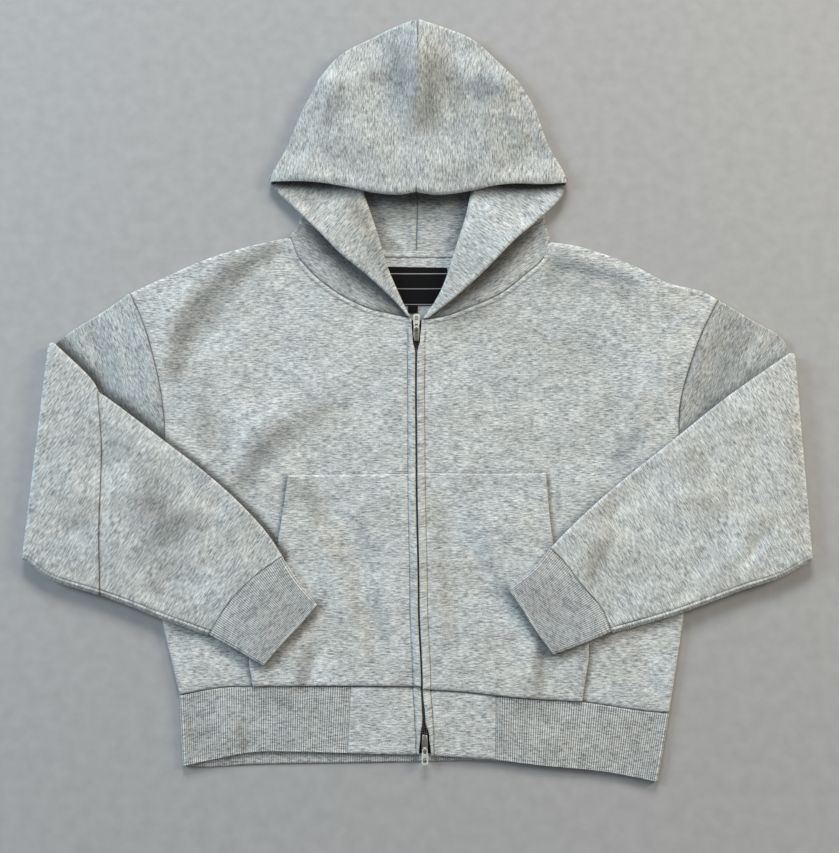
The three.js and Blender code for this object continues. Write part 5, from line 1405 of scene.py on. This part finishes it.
# The tab: a plate with an eye round the pin and a window near its free end. Its two openings
# are given as half their width and how far from the pin they start and end.
TAB = {"wide": 7.4, "long": 17, "thick": 1.3, "eye": 0.65, "openings": [(1.8, 0.65, 4.4), (2.1, 9.0, 14.6)]}
TAB_DOTS = [(dx, dy) for dx in (-0.95, 0.95) for dy in (5.4, 6.8, 8.2)]
DOT = {"low": 0.42, "high": 0.34, "thick": 0.16}
# Where each pin is, where its slider starts and stops, and which way its tab lies.
ZIP_ENDS = {"top": (93.6, 77.5, 97.2, 1), "bottom": (-401.4, -385, -405, -1)}
slider_metal = metal_material("plated_slider_metal", (0.2, 0.18, 0.15), (0.5, 0.47, 0.41), 0.34)
# The tab's plating is lighter and half diffuse, unlike the slider's: partly real plating, partly painted
# reflection, so that it shows bright without a bright surround to reflect.
tab_metal = metal_material("plated_tab_metal", (0.55, 0.53, 0.49), (0.88, 0.86, 0.82), 0.42, metallic=0.55)


def soften(bm, offset, segments=2):
    sharp = [edge for edge in bm.edges if len(edge.link_faces) == 2 and edge.calc_face_angle() > 0.6]
    bevel(bm, sharp, offset, segments)
    bmesh.ops.recalc_face_normals(bm, faces=bm.faces)


def mirrored(half):
    """Whole outline from its right half, which starts at the near end."""
    (x, y), *rest = half
    return [(-x, y), *half, *((-x, y) for x, y in reversed(rest))]


def raised(outline, low, high, offset, segments=2):
    """A solid over these plan corners between two heights, with its sharp edges softened."""
    bm = bmesh.new()
    face = bm.faces.new([bm.verts.new(on_part(x, y, low)) for x, y in outline])
    made = bmesh.ops.extrude_face_region(bm, geom=[face])["geom"]
    bmesh.ops.translate(bm, verts=[e for e in made if isinstance(e, bmesh.types.BMVert)],
                        vec=(0, 0, (high - low) * MM))
    bmesh.ops.recalc_face_normals(bm, faces=bm.faces)
    soften(bm, offset, segments)
    return bm


def strap_over(x, pin_y):
    """The arch that holds the tab's pin, a strap bent down at both its ends."""
    bm = bmesh.new()
    box_at(bm, -PLAN_ORIGIN, (STRAP["wide"], 2 * CHEEK["half"], STRAP["thick"]))
    lengthwise = [e for e in bm.edges if abs(e.verts[0].co.y - e.verts[1].co.y) > 1 * MM]
    bmesh.ops.subdivide_edges(bm, edges=lengthwise, cuts=9, use_grid_fill=True)
    for vert in bm.verts:
        bend = STRAP["drop"] * abs(vert.co.y / (CHEEK["half"] * MM)) ** 3
        vert.co += on_part(x, pin_y, SLIDER["arch_top"] - STRAP["thick"] / 2 - bend)
    soften(bm, 0.25)
    return bm


for name, (pin_y, start, stop, way) in ZIP_ENDS.items():
    x = float(zip_x(np.array((start + stop) / 2))[0])
    half, nose = SLIDER["wide"] / 2, SLIDER["nose_wide"] / 2
    wide_from, wide_to = mix(start, stop, 0.35), mix(start, stop, 0.9)
    outline = mirrored([(nose, start), (half, wide_from), (half, wide_to), (half - 1.4, stop)])
    parts = [raised([(x + dx, y) for dx, y in outline], SLIDER["low"], SLIDER["high"], 0.5)]
    for side in (-1, 1):
        near, far = x + side * CHEEK["near"], x + side * CHEEK["far"]
        back, front = pin_y - CHEEK["half"], pin_y + CHEEK["half"]
        foot = SLIDER["high"] - 0.2
        outline = [(near, back), (far, back), (far, front), (near, front)]
        parts.append(raised(outline, foot, foot + CHEEK["high"], 0.2, 1))
    parts.append(strap_over(x, pin_y))
    bm = bmesh.new()
    for part in parts:
        part_mesh = mesh_of(part, "part")
        bm.from_mesh(part_mesh)
        bpy.data.meshes.remove(part_mesh)
    slider = new_object(f"slider_{name}_metal", mesh_of(bm, f"slider_{name}_metal"), slider_metal)
    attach(slider, "garment")
    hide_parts(f"slider_{name}")

    eye, tab_half, far = TAB["eye"], TAB["wide"] / 2, TAB["long"]
    neck_half = tab_half - 0.6
    outline = mirrored([(neck_half, -eye), (neck_half, 3.0), (tab_half, 4.2), (tab_half, far - 1.2),
                        (tab_half - 1.2, far)])
    bm = raised([(x + dx, pin_y + way * dy) for dx, dy in outline], SLIDER["pin_z"] - TAB["thick"] / 2,
                SLIDER["pin_z"] + TAB["thick"] / 2, 0.22)
    tab = new_object(f"pull_tab_{name}_metal", mesh_of(bm, f"pull_tab_{name}_metal"), tab_metal)
    bm = bmesh.new()
    for wide, low, high in TAB["openings"]:
        box_at(bm, (x, pin_y + way * (low + high) / 2, SLIDER["pin_z"]), (wide * 2, high - low, 6))
    cutter = new_object("tab_openings", mesh_of(bm, "tab_openings", smooth=False))
    cut = tab.modifiers.new("openings", "BOOLEAN")
    cut.operation, cut.object, cut.solver = "DIFFERENCE", cutter, "EXACT"
    rounded = tab.modifiers.new("worn edges", "BEVEL")
    rounded.width, rounded.segments, rounded.limit_method = 0.12 * MM, 2, "ANGLE"
    bpy.context.view_layer.update()
    tab_mesh = bpy.data.meshes.new_from_object(tab.evaluated_get(bpy.context.evaluated_depsgraph_get()))
    tab.modifiers.clear()
    tab.data = tab_mesh
    bpy.data.objects.remove(cutter)
    for polygon in tab_mesh.polygons:
        polygon.use_smooth = False
    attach(tab, f"{name}_tab")
    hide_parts(f"pull_tab_{name}")
    bm = bmesh.new()
    for dx, dy in TAB_DOTS:
        spot = on_part(x + dx, pin_y + way * dy, SLIDER["pin_z"] + TAB["thick"] / 2)
        bmesh.ops.create_cone(bm, cap_ends=True, segments=10, radius1=DOT["low"] * MM,
                              radius2=DOT["high"] * MM, depth=DOT["thick"] * MM,
                              matrix=Matrix.Translation(spot))
    dots = new_object(f"pull_tab_{name}_dots", mesh_of(bm, f"pull_tab_{name}_dots"), teeth_metal)
    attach(dots, f"{name}_tab")

# Topstitching. Light grey thread beside the zip, round the neck, along the pocket's open
# edges, and through the hem blocks.
CLOTH_TOP = CLOTH / 2 + 0.05


def on_front(path, lift=0.0):
    """A plan path laid on the upper face of the front, or of what lies `lift` above it."""
    path = np.asarray(path, float)
    return np.column_stack([path, panel_z(path) + CLOTH_TOP + lift])


for name, panel in BODY.items():
    side = panel["side"]
    pocket_top = POCKET[name][0]
    ys = {"chest": np.arange(pocket_top + 2, NECK_Y[name] - 6, 3.0),
          "pocket": np.arange(HEM_SEAM_Y[name] + 1.5, pocket_top - 2, 3.0),
          "block": np.arange(-405, HEM_SEAM_Y[name] - 1.5, 3.0)}
    for part, y in ys.items():
        path = np.column_stack([zip_x(y)[0] + side * FACING["wide"], y])
        stitches(f"stitches_zip_{part}_{name}", on_front(path, POCKET_LIFT if part == "pocket" else 0))
    neck = panel["neck_line"](np.linspace(0.07, 0.985, 60))
    step = np.gradient(neck, axis=0)
    across = np.column_stack([step[:, 1], -step[:, 0]]) / np.linalg.norm(step, axis=1)[:, None]
    stitches(f"stitches_neck_{name}", on_front(neck + side * NECK_ROW * across))
    opening = curve(POCKET[name][1])(np.linspace(0.02, 0.99, 60))
    stitches(f"stitches_pocket_{name}", on_front(opening - np.array([side * 7.0, 0]), POCKET_LIFT))
